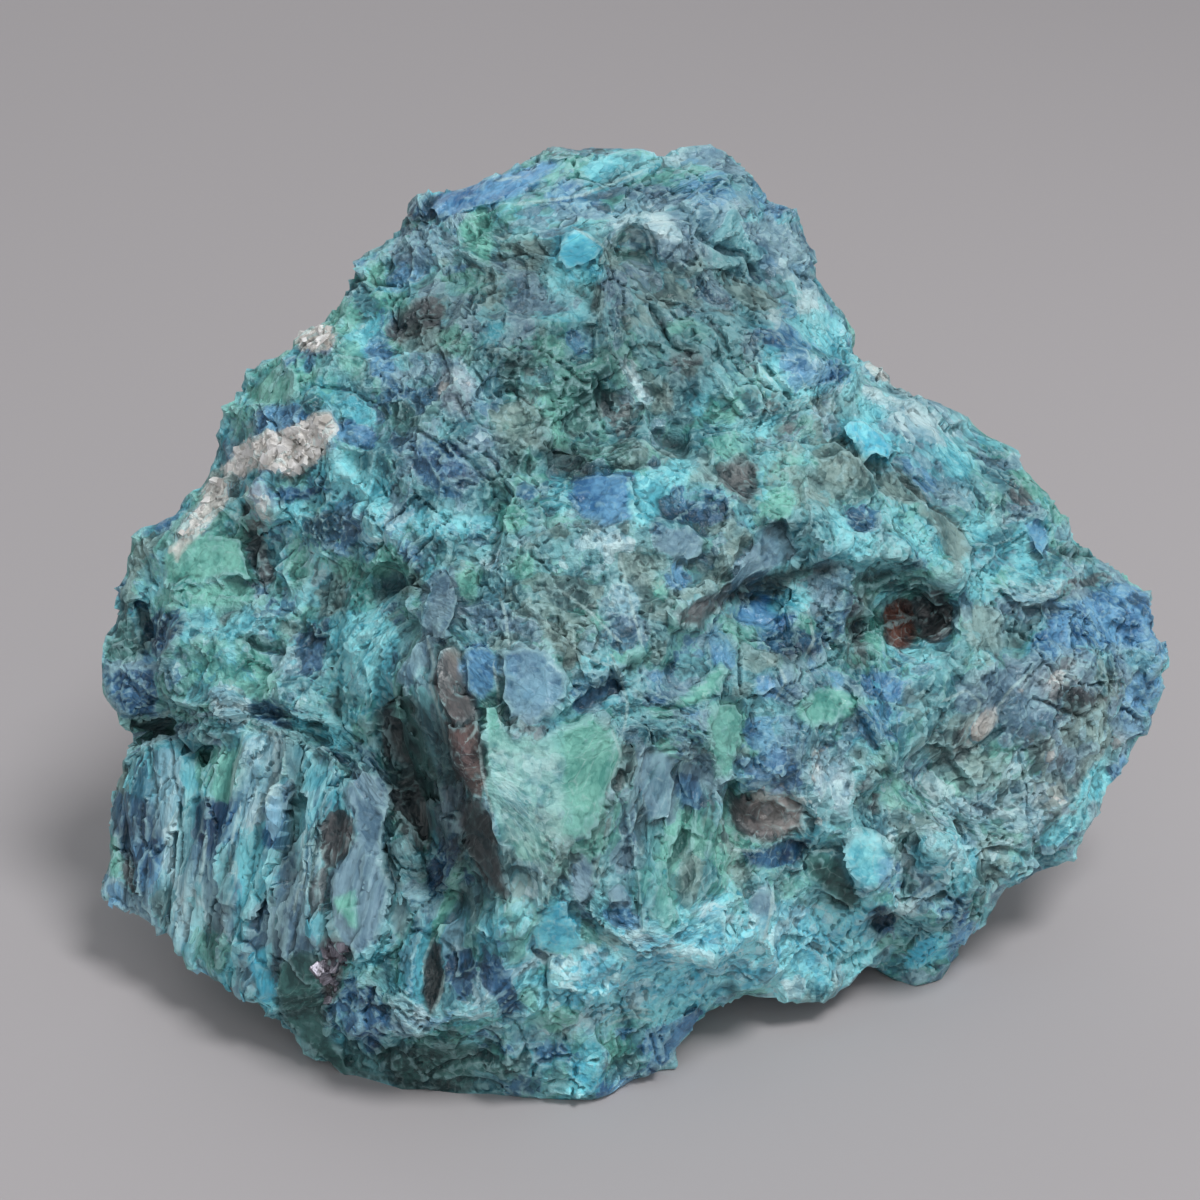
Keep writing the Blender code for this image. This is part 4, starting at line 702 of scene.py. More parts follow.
def seen(points):
    """Pixel across, pixel down and distance toward the eye of points in mm, as arrays."""
    across = points[:, 0] + STONE_MIDDLE[0]
    back = points[:, 1] + STONE_MIDDLE[1]
    height = points[:, 2] - MIDDLE_ABOVE_GROUND
    up = back * math.sin(EYE_TILT) + height * math.cos(EYE_TILT)
    toward = height * math.sin(EYE_TILT) - back * math.cos(EYE_TILT)
    grow = EYE_DISTANCE / (EYE_DISTANCE - toward) / MM_PER_PIXEL
    return PICTURE / 2 + across * grow, PICTURE / 2 - up * grow, toward


def eye_place():
    """Where the camera stands, and the place it looks at, in metres."""
    aim = Vector((-STONE_MIDDLE[0], -STONE_MIDDLE[1], MIDDLE_ABOVE_GROUND)) * MM
    away = Vector((0.0, -math.cos(EYE_TILT), math.sin(EYE_TILT))) * EYE_DISTANCE * MM
    return aim + away, aim


def smooth(share):
    """Ease a share between 0 and 1."""
    share = np.clip(share, 0.0, 1.0)
    return share * share * (3.0 - 2.0 * share)


def unit(rows):
    """Directions brought to length one."""
    return rows / np.linalg.norm(rows, axis=1)[:, None]


def soft_noise(places, size, seed, octaves=1):
    """Smooth noise from about -1 to 1 whose lumps have the given size, with finer octaves on it."""
    total = np.zeros(len(places))
    weight = 0.0
    for octave in range(octaves):
        grid = places / (size / 2 ** octave)
        low = np.floor(grid).astype(int)
        corner = low.min(0)
        table = np.random.default_rng(seed * SEED_STEP + octave).uniform(-1, 1, low.max(0) - corner + 2)
        low -= corner
        part = smooth(grid - np.floor(grid))
        value = np.zeros(len(places))
        for step in itertools.product((0, 1), repeat=3):
            share = np.prod(np.where(step, part, 1.0 - part), axis=1)
            value += share * table[tuple((low + step).T)]
        total += value / 2 ** octave
        weight += 0.5 ** octave
    return NOISE_GAIN * total / weight


def facets(places, size, lean, hollow, seed):
    """Tilted flat chips side by side: height, distance from the chip's border, and the chip's chance."""
    grid = places / size
    low = np.floor(grid).astype(int)
    corner = low.min(0) - 1
    shape = tuple(low.max(0) - corner + 2)
    table = np.random.default_rng(seed).random(shape + (8,)).astype(np.float32)
    low -= corner
    lowest = np.full(len(places), FAR_AWAY)
    second = lowest.copy()
    height = np.zeros(len(places))
    chance = np.zeros(len(places))
    for step in itertools.product((-1, 0, 1), repeat=3):
        cell = low + step
        dice = table[tuple(cell.T)]
        away = grid - (cell + corner + dice[:, :3])
        apart = (away ** 2).sum(1)
        plane = CHIP_STAGGER * (dice[:, 3] - 0.5) + (away * (dice[:, 4:7] - 0.5)).sum(1) * 2.0 * lean
        closer = plane + apart < lowest
        second = np.where(closer, lowest, np.minimum(second, plane + apart))
        lowest = np.where(closer, plane + apart, lowest)
        height = np.where(closer, plane + hollow * apart, height)
        chance = np.where(closer, dice[:, 7], chance)
    return size * (height - height.mean()), second - lowest, chance


def pairs(form):
    """Points of an outline or a line."""
    return list(zip(form[::2], form[1::2]))


def off_stretch(across, down, start, end):
    """Distance in pixels from each spot to the straight stretch between two points."""
    (x0, y0), (x1, y1) = start, end
    run, drop = x1 - x0, y1 - y0
    along = np.clip(((across - x0) * run + (down - y0) * drop) / (run ** 2 + drop ** 2), 0.0, 1.0)
    return np.hypot(across - x0 - along * run, down - y0 - along * drop)


def within(across, down, form):
    """How far in pixels each spot lies inside an ellipse or an outline, below zero outside."""
    if len(form) == ELLIPSE_NUMBERS:
        middle_x, middle_y, half_x, half_y, turn = form
        angle = math.radians(turn)
        side = (across - middle_x) * math.cos(angle) + (down - middle_y) * math.sin(angle)
        rest = (down - middle_y) * math.cos(angle) - (across - middle_x) * math.sin(angle)
        return (1.0 - np.hypot(side / half_x, rest / half_y)) * min(half_x, half_y)
    corners = pairs(form)
    nearest = np.full(len(across), FAR_AWAY)
    inside = np.zeros(len(across), bool)
    for (x0, y0), (x1, y1) in zip(corners, corners[1:] + corners[:1]):
        nearest = np.minimum(nearest, off_stretch(across, down, (x0, y0), (x1, y1)))
        if y0 != y1:
            crosses = (y0 > down) != (y1 > down)
            inside ^= crosses & (across < (x1 - x0) * (down - y0) / (y1 - y0) + x0)
    return np.where(inside, nearest, -nearest)


def near(across, down, form, margin):
    """Numbers of the spots within a margin of a form's own box."""
    if len(form) == ELLIPSE_NUMBERS:
        middle_x, middle_y, half_x, half_y, _ = form
        reach = max(half_x, half_y)
        left, right, top, bottom = middle_x - reach, middle_x + reach, middle_y - reach, middle_y + reach
    else:
        left, right, top, bottom = min(form[::2]), max(form[::2]), min(form[1::2]), max(form[1::2])
    inside = (across > left - margin) & (across < right + margin)
    inside &= (down > top - margin) & (down < bottom + margin)
    return np.nonzero(inside)[0]


def covered(across, down, form, softness):
    """Numbers of the spots that a form with a soft edge may cover, and how much it covers each."""
    spots = near(across, down, form, softness)
    return spots, smooth(0.5 + within(across[spots], down[spots], form) / softness)


def beside(across, down, line):
    """Signed distance in pixels from each spot to a line of straight stretches."""
    nearest = np.full(len(across), FAR_AWAY)
    signed = nearest.copy()
    corners = pairs(line)
    for (x0, y0), (x1, y1) in zip(corners, corners[1:]):
        away = off_stretch(across, down, (x0, y0), (x1, y1))
        side = np.where((x1 - x0) * (down - y0) - (y1 - y0) * (across - x0) < 0, -1.0, 1.0)
        signed = np.where(away < nearest, side * away, signed)
        nearest = np.minimum(nearest, away)
    return signed


# Directions in which the stone's grain is drawn out on the front: the form of the area, the grain's
# direction across and down, and how far it is drawn out
GRAINS = {
    "flutes": ((235, 865, 170, 150, 0), (-0.16, 1.0), 3.4),
    "foot of the ridge": ((450, 900, 90, 130, 0), (-0.28, 1.0), 2.0),
    "below the centre": ((650, 830, 80, 110, 0), (-0.15, 1.0), 1.9),
    "crest": ((640, 190, 190, 60, -10), (1.0, -0.5), 1.8),
    "upper right": ((730, 300, 130, 120, 0), (0.8, 0.6), 1.4),
    "right slope": ((990, 700, 120, 120, 0), (1.0, -0.9), 1.4),
    "right shoulder": ((960, 460, 120, 60, 35), (1.0, 0.7), 1.5),
    "dark groove": ((420, 740, 60, 130, 0), (0.2, 1.0), 2.4),
}
GRAIN_FADE = 40.0


def drawn_out(across, down, toward):
    """Places in mm across, down and toward the eye, squeezed along the grain so that patterns draw out."""
    places = np.stack([across * MM_PER_PIXEL, down * MM_PER_PIXEL, -toward], axis=1)
    result = places.copy()
    for form, direction, stretch in GRAINS.values():
        share = smooth(0.5 + within(across, down, form) / GRAIN_FADE)
        line = np.array([*direction, 0.0])
        line /= np.linalg.norm(line)
        middle = np.array([form[0] * MM_PER_PIXEL, form[1] * MM_PER_PIXEL, 0.0])
        along = (places - middle) @ line
        result -= np.outer(share * along * (1.0 - 1.0 / stretch), line)
    return result


def read(rows, field, width, kind=np.float32):
    """One field of a mesh's parts, a row for each part."""
    values = np.empty(len(rows) * width, dtype=kind)
    rows.foreach_get(field, values)
    return values.reshape(-1, width)


def vertex_places(mesh):
    """Places in mm of a mesh's vertices."""
    return read(mesh.vertices, "co", 3).astype(float) / MM


def vertex_normals(mesh):
    """Normals of a mesh's vertices."""
    return read(mesh.vertex_normals, "vector", 3).astype(float)


def set_vertices(mesh, points):
    """Write places in mm back to a mesh."""
    mesh.vertices.foreach_set("co", (points * MM).astype(np.float32).ravel())
    mesh.update()


def neighbour_mean(mesh, values, rounds):
    """Each vertex's mean with its neighbours, taken again and again."""
    a, b = read(mesh.edges, "vertices", 2, np.int32).T
    count = len(mesh.vertices)
    ties = np.bincount(a, minlength=count) + np.bincount(b, minlength=count)
    values = values.copy()
    for _ in range(rounds):
        total = [np.bincount(a, part[b], count) + np.bincount(b, part[a], count) for part in values.T]
        values = 0.5 * values + 0.5 * np.stack(total, 1) / ties[:, None]
    return values


def rays(points):
    """Direction from each point to the eye."""
    return unit(np.array([*eye_place()[0]]) / MM - points)


def facing(points, normals):
    """How squarely each point faces the eye."""
    return (normals * rays(points)).sum(1)


def keep_vector(mesh, name, values):
    """Store a vector for each vertex."""
    layer = mesh.attributes.new(name, "FLOAT_VECTOR", "POINT")
    layer.data.foreach_set("vector", values.astype(np.float32).ravel())


def keep_colour(mesh, name, values):
    """Store three or four values for each vertex."""
    four = np.ones((len(values), 4), dtype=np.float32)
    four[:, :values.shape[1]] = values
    layer = mesh.attributes.new(name, "FLOAT_COLOR", "POINT")
    layer.data.foreach_set("color", four.ravel())


def colours(mesh, name):
    """Stored values of each vertex, four in a row."""
    return read(mesh.attributes[name].data, "color", 4)


def deselect():
    for thing in bpy.context.selected_objects:
        thing.select_set(False)


def make_active(thing):
    deselect()
    thing.select_set(True)
    bpy.context.view_layer.objects.active = thing


def stone_copy():
    """The frame's stone as a closed mesh of its own, evened out to small faces."""
    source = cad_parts["stone"]
    stone = bpy.data.objects.new("chrysocolla_lump", source.data.copy())
    bpy.context.scene.collection.objects.link(stone)
    stone.data.materials.clear()
    make_active(stone)
    bpy.ops.object.mode_set(mode="EDIT")
    bpy.ops.mesh.select_all(action="SELECT")
    bpy.ops.mesh.remove_doubles(threshold=WELD)
    bpy.ops.object.mode_set(mode="OBJECT")
    skin = stone.modifiers.new("skin", "REMESH")
    skin.mode = "VOXEL"
    skin.voxel_size = GRAIN_OF_SKIN * MM
    bpy.ops.object.modifier_apply(modifier=skin.name)
    return stone


# Layers of chips in the fracture: size in mm, tilt, roundness, height and seed
CHIPS = {
    "slabs": (9.5, 0.65, 0.7, 0.40, 11),
    "plates": (4.6, 0.7, 0.5, 0.32, 12),
    "flakes": (2.3, 0.7, 0.35, 0.25, 13),
    "splinters": (1.2, 0.7, 0.35, 0.12, 15),
}

# Nets of crevices: size in mm, width, depth and seed, and how far each net is broken up
CREVICE_NETS = {
    "long": (8.0, 0.05, 0.9, 21),
    "short": (3.4, 0.06, 0.45, 22),
}
CREVICE_GAPS = 1.6
CREVICE_GAP_SIZE = 2.5

# Soft patterns over the stone: size in mm, seed and octaves
PATTERNS = {
    "ragged": (1.6, 31, 2),
    "steps": (9.0, 41, 2),
    "step heights": (6.0, 42, 1),
    "crust": (0.9, 14, 2),
    "wander": (2.2, 61, 3),
    "warp": (1.8, 71, 2),
    "behind": (34.0, 400, 2),
    "gathering": (5.0, 90, 2),
    "speckled": (7.0, 81, 2),
    "veined": (12.0, 82, 1),
    "mottled": (5.0, 83, 3),
    "cloud": (2.6, 85, 2),
}
RAGGED = 0.18
WARP = 0.22
EDGE_WANDER = 3.5
GATHERING = 3.3

# Laminae of the flutes
LAMELLA_WIDTH = 6.5
LAMELLA_HEIGHT = 2.3
LAMELLA_WANDER = 1.2
LAMELLA_CHANGE = (0.7, 0.8)

# How far each mineral's crust stands out from its surroundings in mm, the rest of the fracture's
# heights, and how much flatter the named faces are
CRUSTS = {"mint": 0.16, "aqua": 0.12, "cyan": 0.18, "cream": 0.30, "navy": -0.14, "umber": -0.16,
          "slate": -0.04}
CRUST_GAIN = 1.4
CRUST_GRAIN = 0.12
DARK_DEPTH = 0.4
CALM_PRESS = 0.75
CALM_CRUST = 0.5
CREASE_FLANK = 1.3
LEVEL_NEAR_GROUND = 2.0
INSIDE_BOX = 0.03

# Painted edges: softness and reach in pixels, and how soon a line fades
EDGE_SOFTNESS = 8.0
AREA_SOFTNESS = 40.0
LINE_REACH = 10.0
LINE_FADE = 1.5

# Where the front ends, and what lies away from it: drifts and single chips
FRONT_ROUNDS = 12
FRONT_TURN = 0.02
FRONT_FADE = 0.2
DRIFT_BEHIND = 5.0
CHIPS_BEHIND = (11.0, 0.3, 0.5)
PICK_SEED = 51
COVER_SEED = 52
COVER_LIMIT = 0.55
COVER_SHARE = 0.7

# What the material reads: relief as rounds of smoothing and range in mm, which paints highlights on crests
# and shade in hollows, and chips as the fracture's, whose tilt also paints shading on their faces
RELIEFS = ((3, 0.5), (30, 2.4))
SPECKLED = (3.0, -0.2)
VEINED = (2.0, -0.7)
CLOUD_SHARE = 0.3
BIG_CHIPS = (4.2, 0.6, 0.3, 84)


def pattern(name, places, number=0):
    """One of the soft patterns, or with a number another of the same kind."""
    size, seed, octaves = PATTERNS[name]
    return soft_noise(places, size, seed + number, octaves)


def three_patterns(name, places):
    """Three patterns of one kind, as a direction for each place."""
    return np.stack([pattern(name, places, number) for number in range(3)], 1)


def front_share(mesh, points):
    """How surely each point belongs to the front, as the photograph shows it."""
    normals = unit(neighbour_mean(mesh, vertex_normals(mesh), FRONT_ROUNDS))
    return smooth((facing(points, normals) + FRONT_TURN) / FRONT_FADE)


def wandered(points):
    """Pixel across and down of each point, shifted a little so that outlines look broken."""
    across, down, _ = seen(points)
    shift_x, shift_y = (EDGE_WANDER * pattern("wander", points, number) for number in range(2))
    return across + shift_x, down + shift_y


def mixed(mix):
    """Share of each mineral in a mix, in their order, with teal as the rest."""
    row = np.array([mix.get(name, 0.0) for name in MINERALS])
    row[MINERALS.index("teal")] += 1.0 - row.sum()
    return row


def drifts_behind(points):
    """Shares of the minerals away from the front: wide drifts of the same mixes, and single chips."""
    drift = np.zeros((len(points), len(MINERALS)))
    total = np.zeros(len(points))
    for number, (_, mix) in enumerate(AREAS.values()):
        weight = np.exp(DRIFT_BEHIND * pattern("behind", points, number))
        drift += weight[:, None] * mixed(mix)
        total += weight
    drift /= total[:, None]
    _, _, pick = facets(points, *CHIPS_BEHIND, PICK_SEED)
    _, _, cover = facets(points, *CHIPS_BEHIND, COVER_SEED)
    kind = np.minimum(np.searchsorted(np.cumsum(mixed(WHOLE_MIX)), pick), len(MINERALS) - 1)
    spot = np.where(cover > COVER_LIMIT, COVER_SHARE, 0.0)
    drift *= (1.0 - spot)[:, None]
    drift[np.arange(len(points)), kind] += spot
    return drift


def mineral_shares(points, front):
    """Each mineral's share at each point, and the share of painted near-black shade."""
    hidden = np.nonzero(front < 1.0)[0]
    behind = drifts_behind(points[hidden])
    x, y = wandered(points)
    shares = np.tile(mixed(WHOLE_MIX), (len(points), 1))
    for form, mix in AREAS.values():
        spots, share = covered(x, y, form, AREA_SOFTNESS)
        share = share[:, None]
        shares[spots] = shares[spots] * (1.0 - share) + share * mixed(mix)
    shares[hidden] = front[hidden, None] * shares[hidden] + (1.0 - front[hidden])[:, None] * behind
    places = drawn_out(*seen(points))
    for number in range(len(MINERALS)):
        shares[:, number] *= np.exp(GATHERING * pattern("gathering", places, number))
    shares /= shares.sum(1)[:, None]
    for mineral, strength, *form in PATCHES.values():
        spots, share = covered(x, y, form, EDGE_SOFTNESS)
        share = strength * front[spots] * share
        shares[spots] *= (1.0 - share)[:, None]
        shares[spots, MINERALS.index(mineral)] += share
    # Painted shade, with a few dark mineral spots: the near-black places, the darkest mark winning
    dark = np.zeros(len(points))
    for strength, *form in SHADES.values():
        spots, share = covered(x, y, form, 2 * EDGE_SOFTNESS)
        dark[spots] = np.maximum(dark[spots], strength * share)
    return shares, dark * front


def calmness(points, front):
    """Where the named faces lie, which break smoother than the rest."""
    across, down = wandered(points)
    calm = np.zeros(len(points))
    for name in FACES:
        spots, share = covered(across, down, PATCHES[name][2:], FACE_EDGE)
        calm[spots] = np.maximum(calm[spots], share)
    return calm * front


def flatten(points, front):
    """Press the named faces flat, each along the line of sight onto its own best plane."""
    ray = rays(points)
    across, down = wandered(points)
    for name, (lean_across, lean_down, lift) in FACES.items():
        toward = seen(points)[2]
        form = PATCHES[name][2:]
        spots = near(across, down, form, FACE_EDGE)
        spots = spots[front[spots] > 0.5]
        inside = within(across[spots], down[spots], form)
        share = smooth(0.5 + inside / FACE_EDGE)
        core = spots[inside > 0.0]
        if len(core) < FEWEST_IN_FACE:
            continue
        place = np.stack([np.ones(len(core)), across[core], down[core]], 1)
        plane = np.linalg.lstsq(place, toward[core], rcond=None)[0]
        off_across = (across[spots] - across[core].mean()) * MM_PER_PIXEL
        off_down = (down[spots] - down[core].mean()) * MM_PER_PIXEL
        goal = plane[0] + plane[1] * across[spots] + plane[2] * down[spots]
        goal += lean_across * off_across + lean_down * off_down + lift
        push = np.clip(goal - toward[spots], -FACE_LIMIT, FACE_LIMIT) * share
        points[spots] += ray[spots] * push[:, None]


def keep_looks(mesh, points, front, shares, dark, calm):
    """Store what the material reads: the grain's places, the minerals' bounds, marks of painted shade and
    pale lines, relief for painted highlights and shade, and drifts.
    """
    across, down, toward = seen(points)
    grain = drawn_out(across, down, toward)
    bent = grain + WARP * three_patterns("warp", grain)
    keep_vector(mesh, "grain", bent)
    bounds = np.cumsum(shares, axis=1)
    for number, layer in enumerate(BOUND_LAYERS):
        keep_colour(mesh, layer, bounds[:, 3 * number:3 * number + 3])
    for number, layer in enumerate(TONE_LAYERS):
        keep_colour(mesh, layer, shares @ np.array([tone(*TONES[name][number])[:3] for name in MINERALS]))
    signed = np.full(len(points), LINE_REACH)
    for line in PALE_LINES.values():
        spots = near(across, down, line, LINE_REACH)
        away = beside(across[spots], down[spots], line)
        signed[spots] = np.where(np.abs(away) < np.abs(signed[spots]), away, signed[spots])
    close = smooth(LINE_FADE * (1.0 - np.abs(signed) / LINE_REACH)) * front
    # Marks: the painted near-black shade, then the signed place beside the pale lines and how close they are
    keep_colour(mesh, "marks", np.stack([dark, 0.5 + 0.5 * signed / LINE_REACH, close], 1))
    # Relief: above the middle on crests and below it in hollows, for the painted highlights and shade
    normals = vertex_normals(mesh)
    reliefs = [0.5 + ((points - neighbour_mean(mesh, points, rounds)) * normals).sum(1) / depth
               for rounds, depth in RELIEFS]
    keep_colour(mesh, "relief", np.stack([*reliefs, calm], 1))
    drifts = [smooth(0.5 + gain * pattern(name, grain) + offset)
              for name, (gain, offset) in (("speckled", SPECKLED), ("veined", VEINED))]
    keep_colour(mesh, "drifts", np.stack([*drifts, 0.5 + 0.5 * pattern("mottled", grain)], 1))
    level, _, chance = facets(bent, *BIG_CHIPS)
    cloud = 0.5 + CLOUD_SHARE * pattern("cloud", grain)
    keep_colour(mesh, "chips", np.stack([chance, 0.5 + level / BIG_CHIPS[0], cloud], 1))


def chipped(places, across, down, front):
    """Height in mm of the chips, crevices, laminae and creases over the bare skin."""
    ragged = places + RAGGED * three_patterns("ragged", places)
    height = np.zeros(len(places))
    for size, lean, hollow, share, seed in CHIPS.values():
        height += share * facets(ragged, size, lean, hollow, seed)[0]
    for size, width, depth, seed in CREVICE_NETS.values():
        _, border, _ = facets(ragged, size, 0.0, 1.0, seed)
        broken = smooth(0.5 + CREVICE_GAPS * soft_noise(places, CREVICE_GAP_SIZE * size, seed + 1))
        height -= depth * broken * np.clip(1.0 - border / width, 0.0, 1.0)
    run, drop = GRAINS["flutes"][1]
    step = (across * drop - down * run) * MM_PER_PIXEL / LAMELLA_WIDTH
    step += LAMELLA_WANDER * pattern("steps", places)
    usual, change = LAMELLA_CHANGE
    height += (flute_share(across, down) * front * LAMELLA_HEIGHT * (0.5 - (step - np.floor(step)))
               * (usual + change * pattern("step heights", places)))
    for half_width, depth, *line in CREASES.values():
        spots = near(across, down, line, LINE_REACH)
        away = np.abs(beside(across[spots], down[spots], line))
        height[spots] -= depth * np.clip(CREASE_FLANK - away / half_width, 0.0, 1.0) * front[spots]
    return height


def fracture(stone):
    """Break the stone's skin into chips, lamellae and crevices, inside the frame's box."""
    mesh = stone.data
    points = neighbour_mean(mesh, vertex_places(mesh), SKIN_SMOOTHING)
    set_vertices(mesh, points)
    front = front_share(mesh, points)
    flatten(points, front)
    set_vertices(mesh, points)
    normals = vertex_normals(mesh)
    across, down, toward = seen(points)
    places = drawn_out(across, down, toward)
    calm = calmness(points, front)
    height = chipped(places, across, down, front) * (1.0 - CALM_PRESS * calm)
    ground = np.clip(points[:, 2] / LEVEL_NEAR_GROUND, 0.0, 1.0)
    points += normals * (height * ground)[:, None]

    shares, dark = mineral_shares(points, front)
    # Where near-black shade is painted, the skin also sinks a little
    crust = CRUST_GRAIN * (1.0 - CALM_CRUST * calm) * pattern("crust", places) - DARK_DEPTH * dark
    for name, rise in CRUSTS.items():
        crust += rise * smooth(CRUST_GAIN * shares[:, MINERALS.index(name)])
    points += normals * (crust * ground)[:, None]
    set_vertices(mesh, points)
    keep_looks(mesh, points, front, shares, dark, calm)
    set_vertices(mesh, inside_box(points))


def inside_box(points):
    """Points brought inside the frame's box."""
    low, high = (np.array(corner) / MM for corner in cad_box)
    return np.clip(points, low + [INSIDE_BOX, INSIDE_BOX, 0.0], high - INSIDE_BOX)


def thin_out(stone):
    """Bring the mesh under its limit of triangles, with more of them in front."""
    mesh = stone.data
    face = facing(vertex_places(mesh), vertex_normals(mesh))
    levels = np.round(np.clip(face + KEEP_FROM_BEHIND, 0.0, 1.0) * KEEP_LEVELS).astype(int)
    group = stone.vertex_groups.new(name="keep")
    for level in range(KEEP_LEVELS + 1):
        members = np.nonzero(levels == level)[0].tolist()
        if members:
            group.add(members, (1 + level) / (KEEP_LEVELS + 2), "REPLACE")
    thinner = stone.modifiers.new("thin out", "DECIMATE")
    thinner.ratio = TRIANGLES / sum(len(face.vertices) - 2 for face in mesh.polygons)
    thinner.vertex_group = "keep"
    thinner.invert_vertex_group = True
    thinner.vertex_group_factor = 1.0
    make_active(stone)
    bpy.ops.object.modifier_apply(modifier=thinner.name)
    stone.vertex_groups.clear()
    set_vertices(stone.data, inside_box(vertex_places(stone.data)))


# Layers that the mesh stores for the material: bounds between the minerals, and mean tones
BOUND_LAYERS = ["bounds_0", "bounds_1", "bounds_2", "bounds_3"]
TONE_LAYERS = ["low_tone", "high_tone"]

# Ramps of the finishes: a value is multiplied by the first number, then added to the second or to
# what is there already
RAMPS = {
    "rugged": (-0.6, 1.0),
    "ledge of big chips": (1.2, -0.6),
    "ledge of small chips": (0.6, 0.0),
    "light of the grain": (1.5, -1.62),
    "light of the cloud": (1.3, 0.0),
    "mottled light": (1.0, 0.0),
    "light of a chip": (0.5, 0.0),
    # Painted shading across each chip's tilted face
    "light of a ledge": (0.9, 0.0),
    "pick": (0.84, -0.02),
    "grain of the pick": (0.2, 0.0),
    "edge of a mineral": (14.0, 0.5),
    "glint": (9.0, -7.7),
    "place beside a line": (2 * LINE_REACH, -LINE_REACH),
    "line": (-0.7, 1.6),
    "gaps in a line": (3.0, -0.6),
    "hairline": (-36.0, 1.3),
    "gaps in a hairline": (4.0, -1.5),
    # Painted highlights on crests and chip tops, painted shade in hollows, at chip feet and in cracks
    "crest": (4.0, -2.15),
    "crest of a ledge": (0.9, 0.0),
    "hollow": (-4.5, 1.95),
    "foot of a ledge": (-1.3, 0.0),
    "wide hollow": (-2.8, 1.1),
    "crack": (-1.6, 0.6),
    # Breaks in the painted near-black shade
    "gaps in the dark": (1.2, 0.7),
    "bump of small chips": (0.6, 0.0),
    "cloud": (2.4, -0.7),
    "stain": (5.0, -2.9),
    "gloss of quartz": (0.25, 0.3),
    "gloss of crystal": (0.2, 0.1),
}


class Wiring:
    """Builds the nodes of a tree one by one; an input is a plain value or another node's output."""

    def __init__(self, tree):
        self.tree = tree

    def put(self, kind, inputs, out=0, **settings):
        box = self.tree.nodes.new(kind)
        for name, value in settings.items():
            setattr(box, name, value)
        for socket, value in inputs.items():
            if isinstance(value, bpy.types.NodeSocket):
                self.tree.links.new(value, box.inputs[socket])
            else:
                box.inputs[socket].default_value = value
        return box.outputs[out]

    def stored(self, name, out="Color"):
        return self.put("ShaderNodeAttribute", {}, out, attribute_name=name)

    def apart(self, colour):
        return self.put("ShaderNodeSeparateColor", {0: colour}).node.outputs[:3]

    def sum(self, kind, a, b=0.0, c=0.0, clamp=False):
        return self.put("ShaderNodeMath", {0: a, 1: b, 2: c}, operation=kind, use_clamp=clamp)

    def times(self, a, b):
        return self.sum("MULTIPLY", a, b)

    def ramp(self, name, value, onto=None, clamp=False):
        gain, offset = RAMPS[name]
        return self.sum("MULTIPLY_ADD", value, gain, offset if onto is None else onto, clamp)

    def vector(self, kind, a, b, out=0):
        return self.put("ShaderNodeVectorMath", {0: a, 1: b}, out, operation=kind)

    def blend(self, share, a, b):
        return self.put("ShaderNodeMix", {0: share, 6: a, 7: b}, 2, data_type="RGBA")

    def between(self, share, a, b):
        return self.put("ShaderNodeMix", {0: share, 2: a, 3: b}, 0)

    def noise(self, place, size, detail=2.0):
        return self.put("ShaderNodeTexNoise", {"Vector": place, "Scale": 1.0 / size, "Detail": detail}, "Fac")

    def chips(self, place, size):
        """Chance colour of each chip, and the height of its tilted face."""
        box = self.put("ShaderNodeTexVoronoi", {"Vector": place, "Scale": 1.0 / size}).node
        lean = self.vector("SUBTRACT", box.outputs["Color"], (0.5, 0.5, 0.5))
        away = self.vector("SUBTRACT", place, box.outputs["Position"])
        return box.outputs["Color"], self.vector("DOT_PRODUCT", lean, away, "Value")


class Finish(Wiring):
    """A new material, wired up to its shader."""

    def __init__(self, name):
        self.material = bpy.data.materials.new(name)
        self.material.use_nodes = True
        super().__init__(self.material.node_tree)
        self.shader = self.tree.nodes["Principled BSDF"]

    def finish(self, colour, rough, height, strength, depth):
        """Bring colour, roughness and a bump with its depth in mm to the shader."""
        bump = self.put("ShaderNodeBump", {"Height": height, "Strength": strength, "Distance": depth * MM})
        for name, output in (("Base Color", colour), ("Roughness", rough), ("Normal", bump)):
            self.tree.links.new(output, self.shader.inputs[name])
        return self.material


# Finish of the stone: each mineral's roughness, sizes in mm, shares and tones, with the shares and tones of
# pale veins and rim highlights, of painted highlights on crests and of painted shade in hollows and
# near-black places
GLOSS = {"rust": 0.6, "umber": 0.4, "olive": 0.62, "forest": 0.55, "teal": 0.6, "mint": 0.62, "aqua": 0.55,
         "cyan": 0.45, "frost": 0.5, "slate": 0.36, "azure": 0.34, "navy": 0.3, "cream": 0.55}
GLINT_GLOSS = 0.16
FINE_GRAIN = 0.9
FINE_DETAIL = 5.0
SMALL_CHIP = 1.3
HAIRLINE_NET = 3.6
CHIP_SHARE = 0.42
VEIN_AND_RIM_HIGHLIGHT_SHARE = 0.6
CREST_HIGHLIGHT_SHARE = 0.4
HOLLOW_SHADE_SHARE = 0.55
VEIN_AND_RIM_HIGHLIGHT_TONE = (176, 206, 206)
CREST_HIGHLIGHT_TONE = (160, 202, 206)
HOLLOW_SHADE_TONE = (26, 50, 56)
SHADE_AND_SPOT_BLACK = (18, 30, 32)
STONE_BUMP = (0.8, 0.8)


def mineral_of_a_chip(wire, pick, light):
    """Colour and roughness of the mineral that a chance value picks within the stored bounds."""
    steps = [step for layer in BOUND_LAYERS for step in wire.apart(wire.stored(layer))]
    shades = [wire.blend(light, *(tone(*shade) for shade in TONES[name])) for name in MINERALS]
    colour, rough = shades[0], GLOSS[MINERALS[0]]
    for name, shade, step in zip(MINERALS[1:], shades[1:], steps):
        past = wire.ramp("edge of a mineral", wire.sum("SUBTRACT", pick, step), clamp=True)
        colour = wire.blend(past, colour, shade)
        rough = wire.between(past, rough, GLOSS[name])
    return colour, rough


